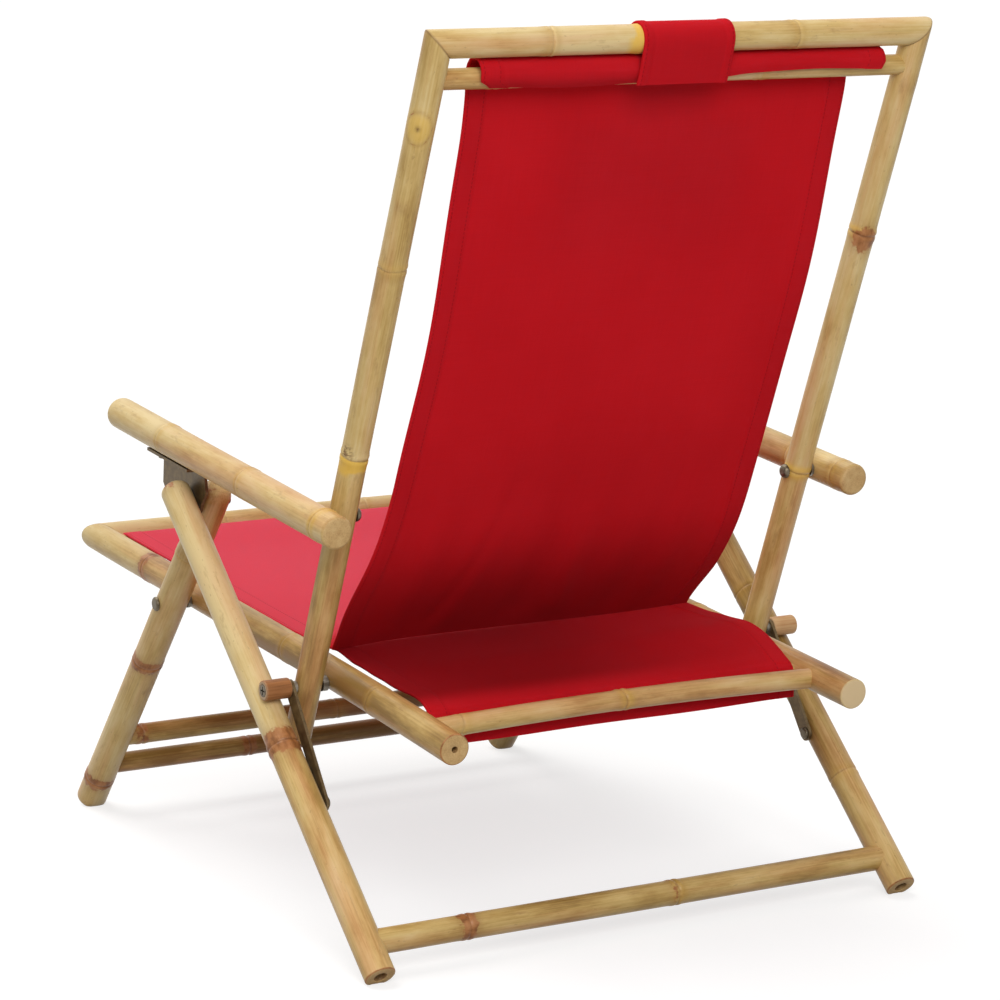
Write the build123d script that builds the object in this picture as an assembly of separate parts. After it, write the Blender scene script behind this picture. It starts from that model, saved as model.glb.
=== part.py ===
from build123d import *
import math
import os

# A folding bamboo reclining chair with a canvas sling and a headrest pillow.
# Millimetres. X is the sitter's left, Y the rear, Z up; the origin is on the floor in the middle.

# Pole and bar diameters
BACK_POLE_D = 27.0
SEAT_RAIL_D = 31.0
FRONT_LEG_D = 33.0
REAR_LEG_D = 31.0
ARM_D = 33.0
SEAT_REAR_BAR_D = 20.5
FRONT_CROSSBAR_D = 22.0
REAR_CROSSBAR_D = 25.0
UPPER_SLING_BAR_D = 20.0
FRONT_SLING_BAR_D = 18.0
REAR_SLING_BAR_D = 16.0
PEG_D = 20.4

# Pivots in the side view
HINGE_Y = 155.5
HINGE_Z = 238.0
LEG_BOLT_Y = -153.5
LEG_BOLT_Z = 265.0
ARM_BOLT_Y = 229.5
ARM_BOLT_Z = 416.5
LEG_TOP_AHEAD = 274.7
LEG_TOP_ROOM = 36.43
STRAP_PITCH = 121.0

# Reach of the poles past their pivots, along each pole
RAIL_FRONT_REACH = 263.7
RAIL_REAR_REACH = 227.9
BACK_TOP_REACH = 679.4
BACK_FOOT_REACH = 61.0
ARM_FRONT_REACH = 435.0
ARM_REAR_REACH = 54.5
ARM_TILT = 5.9
FRONT_LEG_TOP_REACH = 18.0
REAR_LEG_TOP_REACH = 22.0
PEG_LENGTH = 28.0

# Where the bars sit along the poles
SEAT_REAR_BAR_INSET = 60.5
UPPER_SLING_BAR_DROP = 34.4
FRONT_SLING_BAR_SETBACK = 29.0
REAR_SLING_BAR_SETBACK = 27.0
FRONT_CROSSBAR_LOW = 68.5
FRONT_CROSSBAR_HIGH = 118.0
REAR_CROSSBAR_UP = 49.8

# Side-by-side layers, from the seat rail outwards
SEAT_WIDTH = 450.0
HINGE_WASHER_T = 6.0
LEG_WASHER_T = 4.0
ARM_WASHER_T = 3.0
PLATE_T = 3.0
PLATE_GAP = 0.5

# Joinery and hardware
TENON = 14.0
JOINT_GAP = 0.05
RUNNING_GAP = 0.05
SEAT_GAP = 0.1
PEG_GAP = 0.3
FOOT_FLAT = 3.0
PITH_D = 6.0
LEG_PITH_D = 11.0
PITH_DEPTH = 12.0
ARM_ROUND = 7.0
POLE_ROUND = 1.5
LEG_TOP_ROUND = 9.0
BOLT_D = 8.0
NUT_D = 14.0
NUT_T = 5.0
WASHER_D = 15.0
SPACER_D = 12.0
BOLT_HEAD_D = 15.0
BOLT_HEAD_T = 3.0
PIVOT_HEAD_D = 11.0
PIVOT_HEAD_T = 1.5
ARM_BOLT_DEPTH = 22.0
BOLT_END_GAP = 1.0
PEG_SCREW_D = 12.0
PEG_SCREW_T = 3.0
CROSS_SLOT = 1.6
CROSS_DEPTH = 1.5
STRAP_W = 16.0
STRAP_SCREW_D = 6.0
STRAP_HEAD_D = 12.0
STRAP_HEAD_T = 2.8
STRAP_SCREW_DEPTH = 20.0
FLANGE_LENGTH = 94.0
FLANGE_OVERHANG = 18.0
FLANGE_PAST_ARM = 7.0
WEB_EYE_D = 28.0
WEB_FRONT_H = 45.0
WEB_CORNER = 7.0
WEB_REAR_BULGE = 6.0
BRACKET_SCREW_D = 5.0
BRACKET_HEAD_D = 9.0
BRACKET_HEAD_T = 2.5
BRACKET_SCREW_DEPTH = 14.0
BRACKET_SCREW_SPACING = 46.0

# Canvas sling and headrest
CANVAS_T = 2.0
CANVAS_SIDE_GAP = 1.0
CANVAS_GAP = 0.3
FOLD_Y = 116.0
FOLD_Z = 266.5
BACK_SAG = 28.0
BACK_SAG_SKEW = 1.25
LUMBAR_LENGTH = 145.6
SPLIT_GAP = 1.0
SEAM_GAP = 2.0
SEAT_CROWN = 5.0
TOP_FLAP = 20.0
FRONT_FLAP = 22.0
REAR_FLAP = 24.0
PILLOW_WIDTH = 235.0
PILLOW_HEIGHT = 150.0
PILLOW_T = 58.0
PILLOW_TOP_DROP = 22.0
PILLOW_GAP = 1.0
PILLOW_DRAW_IN = 7.0
PILLOW_SEAM_T = 5.0
PILLOW_END_T = 12.0
HEAD_STRAP_WIDTH = 105.0
HEAD_STRAP_T = 2.5
HEAD_STRAP_GAP = 0.4
HEAD_STRAP_TAIL = 38.0

ARC_STEPS = 8
BACK_STEPS = 24
BIG = 2000.0


def side_point(y, z):
    return Vector(0, y, z)


def at_x(x, point):
    return Vector(x, point.Y, point.Z)


# Pivots and pole directions, all in the side view
HINGE = side_point(HINGE_Y, HINGE_Z)
LEG_BOLT = side_point(LEG_BOLT_Y, LEG_BOLT_Z)
ARM_BOLT = side_point(ARM_BOLT_Y, ARM_BOLT_Z)
ARM_DIR = side_point(math.cos(math.radians(ARM_TILT)), -math.sin(math.radians(ARM_TILT)))
ARM_DOWN = side_point(ARM_DIR.Z, -ARM_DIR.Y)

# The legs meet below the flange that the arm bracket has against the underside of the arm
FLANGE_DROP = ARM_D / 2 + SEAT_GAP
LEG_TOP = ARM_BOLT - ARM_DIR * LEG_TOP_AHEAD + ARM_DOWN * (FLANGE_DROP + PLATE_T + LEG_TOP_ROOM)
RAIL_DIR = (HINGE - LEG_BOLT).normalized()
BACK_DIR = (ARM_BOLT - HINGE).normalized()
FRONT_LEG_DIR = (LEG_BOLT - LEG_TOP).normalized()

# The rear leg leans on the peg, which turns on the hinge bolt
PEG_REACH = REAR_LEG_D / 2 + PEG_D / 2 + PEG_GAP
HINGE_SPAN = (HINGE - LEG_TOP).length
HINGE_SLOPE = math.atan2(HINGE.Z - LEG_TOP.Z, HINGE.Y - LEG_TOP.Y)
REAR_LEG_ANGLE = HINGE_SLOPE - math.asin(PEG_REACH / HINGE_SPAN)
REAR_LEG_DIR = side_point(math.cos(REAR_LEG_ANGLE), math.sin(REAR_LEG_ANGLE))
PEG_ALONG_LEG = math.sqrt(HINGE_SPAN**2 - PEG_REACH**2)
STRAP_SCREW = LEG_TOP + REAR_LEG_DIR * (PEG_ALONG_LEG + math.sqrt(STRAP_PITCH**2 - PEG_REACH**2))

# Layers across the chair
SEAT_RAIL_X = SEAT_WIDTH / 2
RAIL_INNER_X = SEAT_RAIL_X - SEAT_RAIL_D / 2
RAIL_OUTER_X = SEAT_RAIL_X + SEAT_RAIL_D / 2
BACK_POLE_X = RAIL_OUTER_X + HINGE_WASHER_T + BACK_POLE_D / 2
FRONT_LEG_X = RAIL_OUTER_X + LEG_WASHER_T + FRONT_LEG_D / 2
BACK_INNER_X = BACK_POLE_X - BACK_POLE_D / 2
BACK_OUTER_X = BACK_POLE_X + BACK_POLE_D / 2
FRONT_LEG_OUTER_X = FRONT_LEG_X + FRONT_LEG_D / 2
PLATE_X = max(FRONT_LEG_OUTER_X, BACK_OUTER_X) + PLATE_GAP
PLATE_OUTER_X = PLATE_X + PLATE_T
REAR_LEG_X = PLATE_OUTER_X + PLATE_GAP + REAR_LEG_D / 2
ARM_X = BACK_OUTER_X + ARM_WASHER_T + ARM_D / 2
CANVAS_HALF_WIDTH = RAIL_INNER_X - CANVAS_SIDE_GAP

# Places of the bars
SEAT_CORNER = LEG_BOLT - RAIL_DIR * RAIL_FRONT_REACH
RAIL_END = HINGE + RAIL_DIR * RAIL_REAR_REACH
SEAT_REAR_BAR = RAIL_END - RAIL_DIR * SEAT_REAR_BAR_INSET
FRONT_SLING_BAR = SEAT_CORNER + RAIL_DIR * FRONT_SLING_BAR_SETBACK
REAR_SLING_BAR = SEAT_REAR_BAR - RAIL_DIR * REAR_SLING_BAR_SETBACK
BACK_CORNER = HINGE + BACK_DIR * BACK_TOP_REACH
UPPER_SLING_BAR = BACK_CORNER - BACK_DIR * UPPER_SLING_BAR_DROP
FRONT_FLOOR = LEG_TOP - FRONT_LEG_DIR * (LEG_TOP.Z / FRONT_LEG_DIR.Z)
REAR_FLOOR = LEG_TOP - REAR_LEG_DIR * (LEG_TOP.Z / REAR_LEG_DIR.Z)
FRONT_BAR_LOW = FRONT_FLOOR - FRONT_LEG_DIR * FRONT_CROSSBAR_LOW
FRONT_BAR_HIGH = FRONT_FLOOR - FRONT_LEG_DIR * FRONT_CROSSBAR_HIGH
REAR_BAR = REAR_FLOOR - REAR_LEG_DIR * REAR_CROSSBAR_UP


def cylinder(start, end, diameter):
    axis = end - start
    return Solid.make_cylinder(diameter / 2, axis.length, Plane(origin=start, z_dir=axis))


def along_x(x_from, x_to, point, diameter):
    return cylinder(at_x(x_from, point), at_x(x_to, point), diameter)


def half_space(point, normal):
    block = Box(BIG, BIG, BIG, align=(Align.CENTER, Align.CENTER, Align.MIN))
    return Plane(origin=point, z_dir=normal) * block


def mirrored(shape):
    return mirror(shape, about=Plane.YZ)


def both_sides(shape):
    return Compound([*shape.solids(), *mirrored(shape).solids()])


def mitre_cut(corner, along, across):
    return half_space(corner + (along - across) * JOINT_GAP, along - across)


def pith(end, direction, diameter):
    return cylinder(end - direction * PITH_DEPTH, end + direction, diameter)


def tenon_hole(pole_x, pole_d, point, bar_d):
    depth = pole_x - pole_d / 2 + TENON + JOINT_GAP
    return along_x(0, depth, point, bar_d + 2 * JOINT_GAP)


def crossbar(pole_x, pole_d, point, bar_d):
    reach = pole_x - pole_d / 2 + TENON
    return along_x(-reach, reach, point, bar_d)


def dome(x_seat, height, point, diameter):
    tip = abs(height)
    head = along_x(x_seat, x_seat + height, point, diameter)
    rim = head.edges().filter_by(GeomType.CIRCLE).sort_by(Axis.X)
    outer = rim[-1] if height > 0 else rim[0]
    return fillet([outer], tip * 0.8)


# Seat frame
def seat_rail():
    corner = at_x(SEAT_RAIL_X, SEAT_CORNER)
    start = corner - RAIL_DIR * SEAT_RAIL_D
    rail = cylinder(start, at_x(SEAT_RAIL_X, RAIL_END), SEAT_RAIL_D)
    rear_rim = rail.edges().filter_by(GeomType.CIRCLE).sort_by(Axis.Y)[-1]
    rail = fillet([rear_rim], POLE_ROUND)
    rail = rail & mitre_cut(corner, RAIL_DIR, Vector(-1, 0, 0))
    rail = rail - tenon_hole(SEAT_RAIL_X, SEAT_RAIL_D, SEAT_REAR_BAR, SEAT_REAR_BAR_D)
    rail = rail - tenon_hole(SEAT_RAIL_X, SEAT_RAIL_D, FRONT_SLING_BAR, FRONT_SLING_BAR_D)
    rail = rail - tenon_hole(SEAT_RAIL_X, SEAT_RAIL_D, REAR_SLING_BAR, REAR_SLING_BAR_D)
    rail = rail - along_x(0, BIG, HINGE, BOLT_D + 2 * JOINT_GAP)
    rail = rail - along_x(0, BIG, LEG_BOLT, BOLT_D + 2 * JOINT_GAP)
    return rail - pith(at_x(SEAT_RAIL_X, RAIL_END), RAIL_DIR, PITH_D)


def mitred_bar(pole_x, pole_d, corner, along):
    bar = along_x(-pole_x - pole_d, pole_x + pole_d, corner, pole_d)
    bar = bar & mitre_cut(at_x(pole_x, corner), Vector(-1, 0, 0), along)
    return bar & mitre_cut(at_x(-pole_x, corner), Vector(1, 0, 0), along)


# Back frame
def back_pole():
    corner = at_x(BACK_POLE_X, BACK_CORNER)
    foot = at_x(BACK_POLE_X, HINGE - BACK_DIR * BACK_FOOT_REACH)
    pole = cylinder(foot, corner + BACK_DIR * BACK_POLE_D, BACK_POLE_D)
    foot_rim = pole.edges().filter_by(GeomType.CIRCLE).sort_by(Axis.Z)[0]
    pole = fillet([foot_rim], POLE_ROUND)
    pole = pole & mitre_cut(corner, BACK_DIR * -1, Vector(-1, 0, 0))
    pole = pole - tenon_hole(BACK_POLE_X, BACK_POLE_D, UPPER_SLING_BAR, UPPER_SLING_BAR_D)
    pole = pole - along_x(0, BIG, HINGE, BOLT_D + 2 * RUNNING_GAP)
    return pole - along_x(0, BIG, ARM_BOLT, BOLT_D + 2 * JOINT_GAP)


# Legs: the lower end is cut square, with a small flat where it stands on the floor
def leg(x, diameter, direction, top_reach):
    end_height = diameter / 2 * abs(direction.Y) - FOOT_FLAT
    end = LEG_TOP + direction * ((end_height - LEG_TOP.Z) / direction.Z)
    pole = cylinder(at_x(x, LEG_TOP - direction * top_reach), at_x(x, end), diameter)
    top_rim = pole.edges().filter_by(GeomType.CIRCLE).sort_by(Axis.Z)[-1]
    pole = fillet([top_rim], LEG_TOP_ROUND)
    foot_rim = pole.edges().filter_by(GeomType.CIRCLE).sort_by(Axis.Z)[0]
    pole = fillet([foot_rim], POLE_ROUND)
    pole = pole - pith(at_x(x, end), direction, LEG_PITH_D)
    return pole & half_space(Vector(0, 0, 0), Vector(0, 0, 1))


def front_leg():
    pole = leg(FRONT_LEG_X, FRONT_LEG_D, FRONT_LEG_DIR, FRONT_LEG_TOP_REACH)
    pole = pole - along_x(0, BIG, LEG_BOLT, BOLT_D + 2 * RUNNING_GAP)
    pole = pole - along_x(0, FRONT_LEG_X, LEG_TOP, BOLT_D + 2 * JOINT_GAP)
    for point in (FRONT_BAR_LOW, FRONT_BAR_HIGH):
        pole = pole - tenon_hole(FRONT_LEG_X, FRONT_LEG_D, point, FRONT_CROSSBAR_D)
    return pole


def rear_leg():
    pole = leg(REAR_LEG_X, REAR_LEG_D, REAR_LEG_DIR, REAR_LEG_TOP_REACH)
    depth = PLATE_OUTER_X + STRAP_SCREW_DEPTH + JOINT_GAP
    pole = pole - along_x(0, depth, STRAP_SCREW, STRAP_SCREW_D + 2 * JOINT_GAP)
    return pole - tenon_hole(REAR_LEG_X, REAR_LEG_D, REAR_BAR, REAR_CROSSBAR_D)


# Arms and their brackets
def armrest():
    start = at_x(ARM_X, ARM_BOLT - ARM_DIR * ARM_FRONT_REACH)
    end = at_x(ARM_X, ARM_BOLT + ARM_DIR * ARM_REAR_REACH)
    arm = cylinder(start, end, ARM_D)
    front_rim = arm.edges().filter_by(GeomType.CIRCLE).sort_by(Axis.Y)[0]
    arm = fillet([front_rim], ARM_ROUND)
    rear_rim = arm.edges().filter_by(GeomType.CIRCLE).sort_by(Axis.Y)[-1]
    arm = fillet([rear_rim], POLE_ROUND)
    depth = ARM_X - ARM_D / 2 + ARM_BOLT_DEPTH + BOLT_END_GAP
    arm = arm - along_x(0, depth, ARM_BOLT, BOLT_D + 2 * RUNNING_GAP)
    for point in bracket_screw_points():
        hole = at_x(ARM_X, point)
        tip = hole - ARM_DOWN * (BRACKET_SCREW_DEPTH + JOINT_GAP)
        arm = arm - cylinder(hole + ARM_DOWN * PLATE_T, tip, BRACKET_SCREW_D + 2 * JOINT_GAP)
    return arm


# The flange lies against the underside of the arm, above the pivot of the legs
def flange_point(along, down):
    return ARM_BOLT + ARM_DIR * (along - LEG_TOP_AHEAD) + ARM_DOWN * (FLANGE_DROP + down)


def bracket_screw_points():
    middle = FLANGE_OVERHANG - FLANGE_LENGTH / 2
    half = BRACKET_SCREW_SPACING / 2
    return [flange_point(middle - half, 0), flange_point(middle + half, 0)]


def plate_profile(points, x_from, x_to):
    outline = Polyline(*[(p.Y, p.Z) for p in points], close=True)
    face = Plane.YZ.offset(x_from) * make_face(outline)
    return extrude(face, amount=x_to - x_from)


def arm_bracket():
    rear = FLANGE_OVERHANG
    front = FLANGE_OVERHANG - FLANGE_LENGTH
    flange_outline = [
        flange_point(front, 0),
        flange_point(rear, 0),
        flange_point(rear, PLATE_T),
        flange_point(front, PLATE_T),
    ]
    flange = plate_profile(flange_outline, PLATE_X, ARM_X + FLANGE_PAST_ARM)
    eye = WEB_EYE_D / 2
    web_outline = [
        flange_point(front, PLATE_T / 2),
        flange_point(rear, PLATE_T / 2),
        flange_point(rear + WEB_REAR_BULGE, PLATE_T + LEG_TOP_ROOM - eye),
        LEG_TOP + ARM_DIR * eye,
        LEG_TOP + ARM_DOWN * eye,
        flange_point(front + WEB_CORNER, WEB_FRONT_H),
        flange_point(front, WEB_FRONT_H - WEB_CORNER),
    ]
    web = plate_profile(web_outline, PLATE_X, PLATE_OUTER_X)
    web = web + along_x(PLATE_X, PLATE_OUTER_X, LEG_TOP, WEB_EYE_D)
    bracket = flange + web - along_x(0, BIG, LEG_TOP, BOLT_D + 2 * JOINT_GAP)
    for point in bracket_screw_points():
        hole = at_x(ARM_X, point)
        drill = cylinder(hole - ARM_DOWN, hole + ARM_DOWN * 2 * PLATE_T, BRACKET_SCREW_D + 2 * JOINT_GAP)
        bracket = bracket - drill
    return bracket


def bracket_screws():
    solids = []
    for point in bracket_screw_points():
        seat = at_x(ARM_X, point) + ARM_DOWN * PLATE_T
        shank = cylinder(seat, at_x(ARM_X, point) - ARM_DOWN * BRACKET_SCREW_DEPTH, BRACKET_SCREW_D)
        head = cylinder(seat, seat + ARM_DOWN * BRACKET_HEAD_T, BRACKET_HEAD_D)
        solids.append((shank + head).solid())
    return Compound(solids)


# Straps from the hinge bolt to the rear legs
def strap():
    toward = (STRAP_SCREW - HINGE).normalized()
    across = side_point(-toward.Z, toward.Y) * (STRAP_W / 2)
    outline = [HINGE + across, STRAP_SCREW + across, STRAP_SCREW - across, HINGE - across]
    bar = plate_profile(outline, PLATE_X, PLATE_OUTER_X)
    for point in (HINGE, STRAP_SCREW):
        bar = bar + along_x(PLATE_X, PLATE_OUTER_X, point, STRAP_W)
    bar = bar - along_x(0, BIG, HINGE, BOLT_D + 2 * RUNNING_GAP)
    return bar - along_x(0, BIG, STRAP_SCREW, STRAP_SCREW_D + 2 * RUNNING_GAP)


def strap_screw():
    shank = along_x(PLATE_X, PLATE_OUTER_X + STRAP_SCREW_DEPTH, STRAP_SCREW, STRAP_SCREW_D)
    return shank + dome(PLATE_X - RUNNING_GAP, -STRAP_HEAD_T, STRAP_SCREW, STRAP_HEAD_D) + along_x(
        PLATE_X - STRAP_HEAD_T / 2, PLATE_X, STRAP_SCREW, STRAP_SCREW_D
    )


# Hinge hardware: one long bolt a side through rail, washer, back pole, spacer, strap and peg
PEG_X = PLATE_OUTER_X + RUNNING_GAP
PEG_END_X = PEG_X + PEG_LENGTH


def ring(x_from, x_to, point, diameter):
    return along_x(x_from, x_to, point, diameter) - along_x(0, BIG, point, BOLT_D + 2 * JOINT_GAP)


def hinge_bolt():
    shank = along_x(RAIL_INNER_X - NUT_T / 2, PEG_END_X - PEG_SCREW_T / 2, HINGE, BOLT_D)
    head = along_x(PEG_END_X - PEG_SCREW_T, PEG_END_X, HINGE, PEG_SCREW_D)
    nut = dome(RAIL_INNER_X, -NUT_T, HINGE, NUT_D)
    bolt = shank + head + nut
    middle = at_x(PEG_END_X, HINGE)
    for turn in (0, 90):
        slot = Box(2 * CROSS_DEPTH, PEG_SCREW_D * 0.7, CROSS_SLOT)
        bolt = bolt - Location(middle) * (Rotation(turn, 0, 0) * slot)
    return bolt


def hinge_peg():
    peg = ring(PEG_X, PEG_END_X, HINGE, PEG_D)
    recess = along_x(PEG_END_X - PEG_SCREW_T - JOINT_GAP, BIG, HINGE, PEG_SCREW_D + 2 * JOINT_GAP)
    return peg - recess


def hinge_washer():
    return ring(RAIL_OUTER_X + RUNNING_GAP, BACK_INNER_X - RUNNING_GAP, HINGE, WASHER_D)


def strap_spacer():
    return ring(BACK_OUTER_X + RUNNING_GAP, PLATE_X - RUNNING_GAP, HINGE, SPACER_D)


def leg_bolt():
    shank = along_x(RAIL_INNER_X - NUT_T / 2, FRONT_LEG_OUTER_X + BOLT_HEAD_T / 2, LEG_BOLT, BOLT_D)
    head = dome(FRONT_LEG_OUTER_X + RUNNING_GAP, BOLT_HEAD_T, LEG_BOLT, BOLT_HEAD_D)
    return shank + head + dome(RAIL_INNER_X, -NUT_T, LEG_BOLT, NUT_D)


def leg_washer():
    return ring(RAIL_OUTER_X + RUNNING_GAP, FRONT_LEG_X - FRONT_LEG_D / 2 - RUNNING_GAP, LEG_BOLT, WASHER_D)


def arm_bolt():
    arm_inner = ARM_X - ARM_D / 2
    shank = along_x(BACK_INNER_X - NUT_T / 2, arm_inner + ARM_BOLT_DEPTH, ARM_BOLT, BOLT_D)
    return shank + dome(BACK_INNER_X, -NUT_T, ARM_BOLT, NUT_D)


def arm_washer():
    return ring(BACK_OUTER_X + RUNNING_GAP, ARM_X - ARM_D / 2 - RUNNING_GAP, ARM_BOLT, WASHER_D)


def leg_rivet():
    return along_x(PLATE_X - PLATE_GAP / 2, PLATE_OUTER_X + PLATE_GAP / 2, LEG_TOP, BOLT_D)


def leg_top_bolt():
    inner = FRONT_LEG_X - FRONT_LEG_D / 2
    return along_x(inner - PIVOT_HEAD_T / 2, FRONT_LEG_X - JOINT_GAP, LEG_TOP, BOLT_D) + dome(
        inner, -PIVOT_HEAD_T, LEG_TOP, PIVOT_HEAD_D
    )


# Canvas: a strip of even thickness that follows a line in the side view
def strip_normals(points):
    normals = []
    last = len(points) - 1
    for i, point in enumerate(points):
        before = (point - points[max(i - 1, 0)]).normalized() if i > 0 else None
        after = (points[min(i + 1, last)] - point).normalized() if i < last else None
        sides = [side_point(-d.Z, d.Y) for d in (before, after) if d is not None]
        if len(sides) == 1:
            normals.append(sides[0])
        else:
            middle = (sides[0] + sides[1]).normalized()
            normals.append(middle * (1 / max(middle.dot(sides[0]), 0.5)))
    return normals


def strip(points, thickness, half_width):
    normals = strip_normals(points)
    upper = [p + n * (thickness / 2) for p, n in zip(points, normals)]
    lower = [p - n * (thickness / 2) for p, n in zip(points, normals)]
    return plate_profile(upper + lower[::-1], -half_width, half_width)


def arc_points(centre, radius, start, end):
    points = []
    for step in range(ARC_STEPS + 1):
        angle = math.radians(start + (end - start) * step / ARC_STEPS)
        points.append(centre + side_point(math.cos(angle), math.sin(angle)) * radius)
    return points


def wrap_radius(bar_d):
    return bar_d / 2 + CANVAS_GAP + CANVAS_T / 2


# Where a canvas that comes from a point meets the wrap round a bar
def leaving_angle(centre, radius, point, turn):
    away = point - centre
    return math.degrees(math.atan2(away.Z, away.Y) + turn * math.acos(radius / away.length)) % 360


FOLD = side_point(FOLD_Y, FOLD_Z)


def seat_sling():
    rear_r = wrap_radius(REAR_SLING_BAR_D)
    front_r = wrap_radius(FRONT_SLING_BAR_D)
    tail = REAR_SLING_BAR + side_point(rear_r, -REAR_FLAP)
    crown = (REAR_SLING_BAR + side_point(0, rear_r) + FOLD) * 0.5 + side_point(0, SEAT_CROWN)
    rear_wrap = arc_points(REAR_SLING_BAR, rear_r, 0, leaving_angle(REAR_SLING_BAR, rear_r, crown, -1))
    front_wrap = arc_points(FRONT_SLING_BAR, front_r, leaving_angle(FRONT_SLING_BAR, front_r, FOLD, 1), 180)
    nose = FRONT_SLING_BAR + side_point(-front_r, -FRONT_FLAP)
    return strip([tail, *rear_wrap, crown, FOLD, *front_wrap, nose], CANVAS_T, CANVAS_HALF_WIDTH)


# The back panel runs from the front of its bar to the fold, bulging to the rear
BACK_FRONT = (FOLD - UPPER_SLING_BAR).normalized()
BACK_REARWARD = side_point(-BACK_FRONT.Z, BACK_FRONT.Y)
BACK_START = UPPER_SLING_BAR - BACK_REARWARD * wrap_radius(UPPER_SLING_BAR_D)


def back_point(share):
    chord = BACK_START + (FOLD - BACK_START) * share
    return chord + BACK_REARWARD * (BACK_SAG * math.sin(math.pi * share**BACK_SAG_SKEW))


def back_line(share_from, share_to):
    steps = max(4, round(BACK_STEPS * abs(share_to - share_from)))
    return [back_point(share_from + (share_to - share_from) * i / steps) for i in range(steps + 1)]


BACK_LENGTH = (FOLD - BACK_START).length
BACK_SPLIT = 1 - LUMBAR_LENGTH / BACK_LENGTH


def lumbar_sling():
    half_gap = SPLIT_GAP / 2 / BACK_LENGTH
    return strip(back_line(BACK_SPLIT + half_gap, 1 - SEAM_GAP / BACK_LENGTH), CANVAS_T, CANVAS_HALF_WIDTH)


def back_sling():
    radius = wrap_radius(UPPER_SLING_BAR_D)
    start = math.degrees(math.atan2(-BACK_REARWARD.Z, -BACK_REARWARD.Y))
    rearward = side_point(BACK_DIR.Z, -BACK_DIR.Y)
    end = math.degrees(math.atan2(rearward.Z, rearward.Y))
    wrap = arc_points(UPPER_SLING_BAR, radius, start, end)
    flap = wrap[-1] - BACK_DIR * TOP_FLAP
    panel = back_line(BACK_SPLIT - SPLIT_GAP / 2 / BACK_LENGTH, 0)
    return strip([*panel, *wrap[1:], flap], CANVAS_T, CANVAS_HALF_WIDTH)


# Headrest: a crowned pillow with drawn-in sides, held by a broad strap over the top bar
def pillow_plane():
    top = back_point(PILLOW_TOP_DROP / BACK_LENGTH)
    bottom = back_point((PILLOW_TOP_DROP + PILLOW_HEIGHT) / BACK_LENGTH)
    upward = (top - bottom).normalized()
    forward = side_point(-upward.Z, upward.Y)
    centre = (top + bottom) * 0.5 + forward * (PILLOW_T / 2 + CANVAS_T / 2 + PILLOW_GAP)
    return Plane(origin=centre, x_dir=(1, 0, 0), z_dir=forward)


def pillow_section(plane, share):
    half_h = PILLOW_HEIGHT / 2 - PILLOW_DRAW_IN * (1 - share**2)
    edge = PILLOW_SEAM_T / 2
    bulge = math.sqrt(PILLOW_T**2 - (PILLOW_T**2 - PILLOW_END_T**2) * share**4) / 2
    outline = [
        ThreePointArc((half_h, edge), (0, bulge), (-half_h, edge)),
        Line((-half_h, edge), (-half_h, -edge)),
        ThreePointArc((-half_h, -edge), (0, -bulge), (half_h, -edge)),
        Line((half_h, -edge), (half_h, edge)),
    ]
    origin = plane.origin + Vector(PILLOW_WIDTH / 2 * share, 0, 0)
    return Plane(origin=origin, x_dir=plane.y_dir, z_dir=(1, 0, 0)) * make_face(outline)


def headrest_pillow():
    plane = pillow_plane()
    shares = [-1, -0.85, -0.5, 0, 0.5, 0.85, 1]
    return loft([pillow_section(plane, share) for share in shares])


def headrest_strap():
    radius = BACK_POLE_D / 2 + HEAD_STRAP_GAP + HEAD_STRAP_T / 2
    over = arc_points(BACK_CORNER, radius, 0, 180)
    tail = over[0] - side_point(0, HEAD_STRAP_TAIL)
    plane = pillow_plane()
    pillow_top = plane.origin + plane.y_dir * (PILLOW_HEIGHT / 2 + HEAD_STRAP_GAP)
    return strip([tail, *over, pillow_top], HEAD_STRAP_T, HEAD_STRAP_WIDTH / 2)


def write(name, shape):
    export_step(shape, os.path.join("parts", name + ".step"))


def write_pair(name, shape):
    write(name + "_left", shape)
    write(name + "_right", mirrored(shape))


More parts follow.
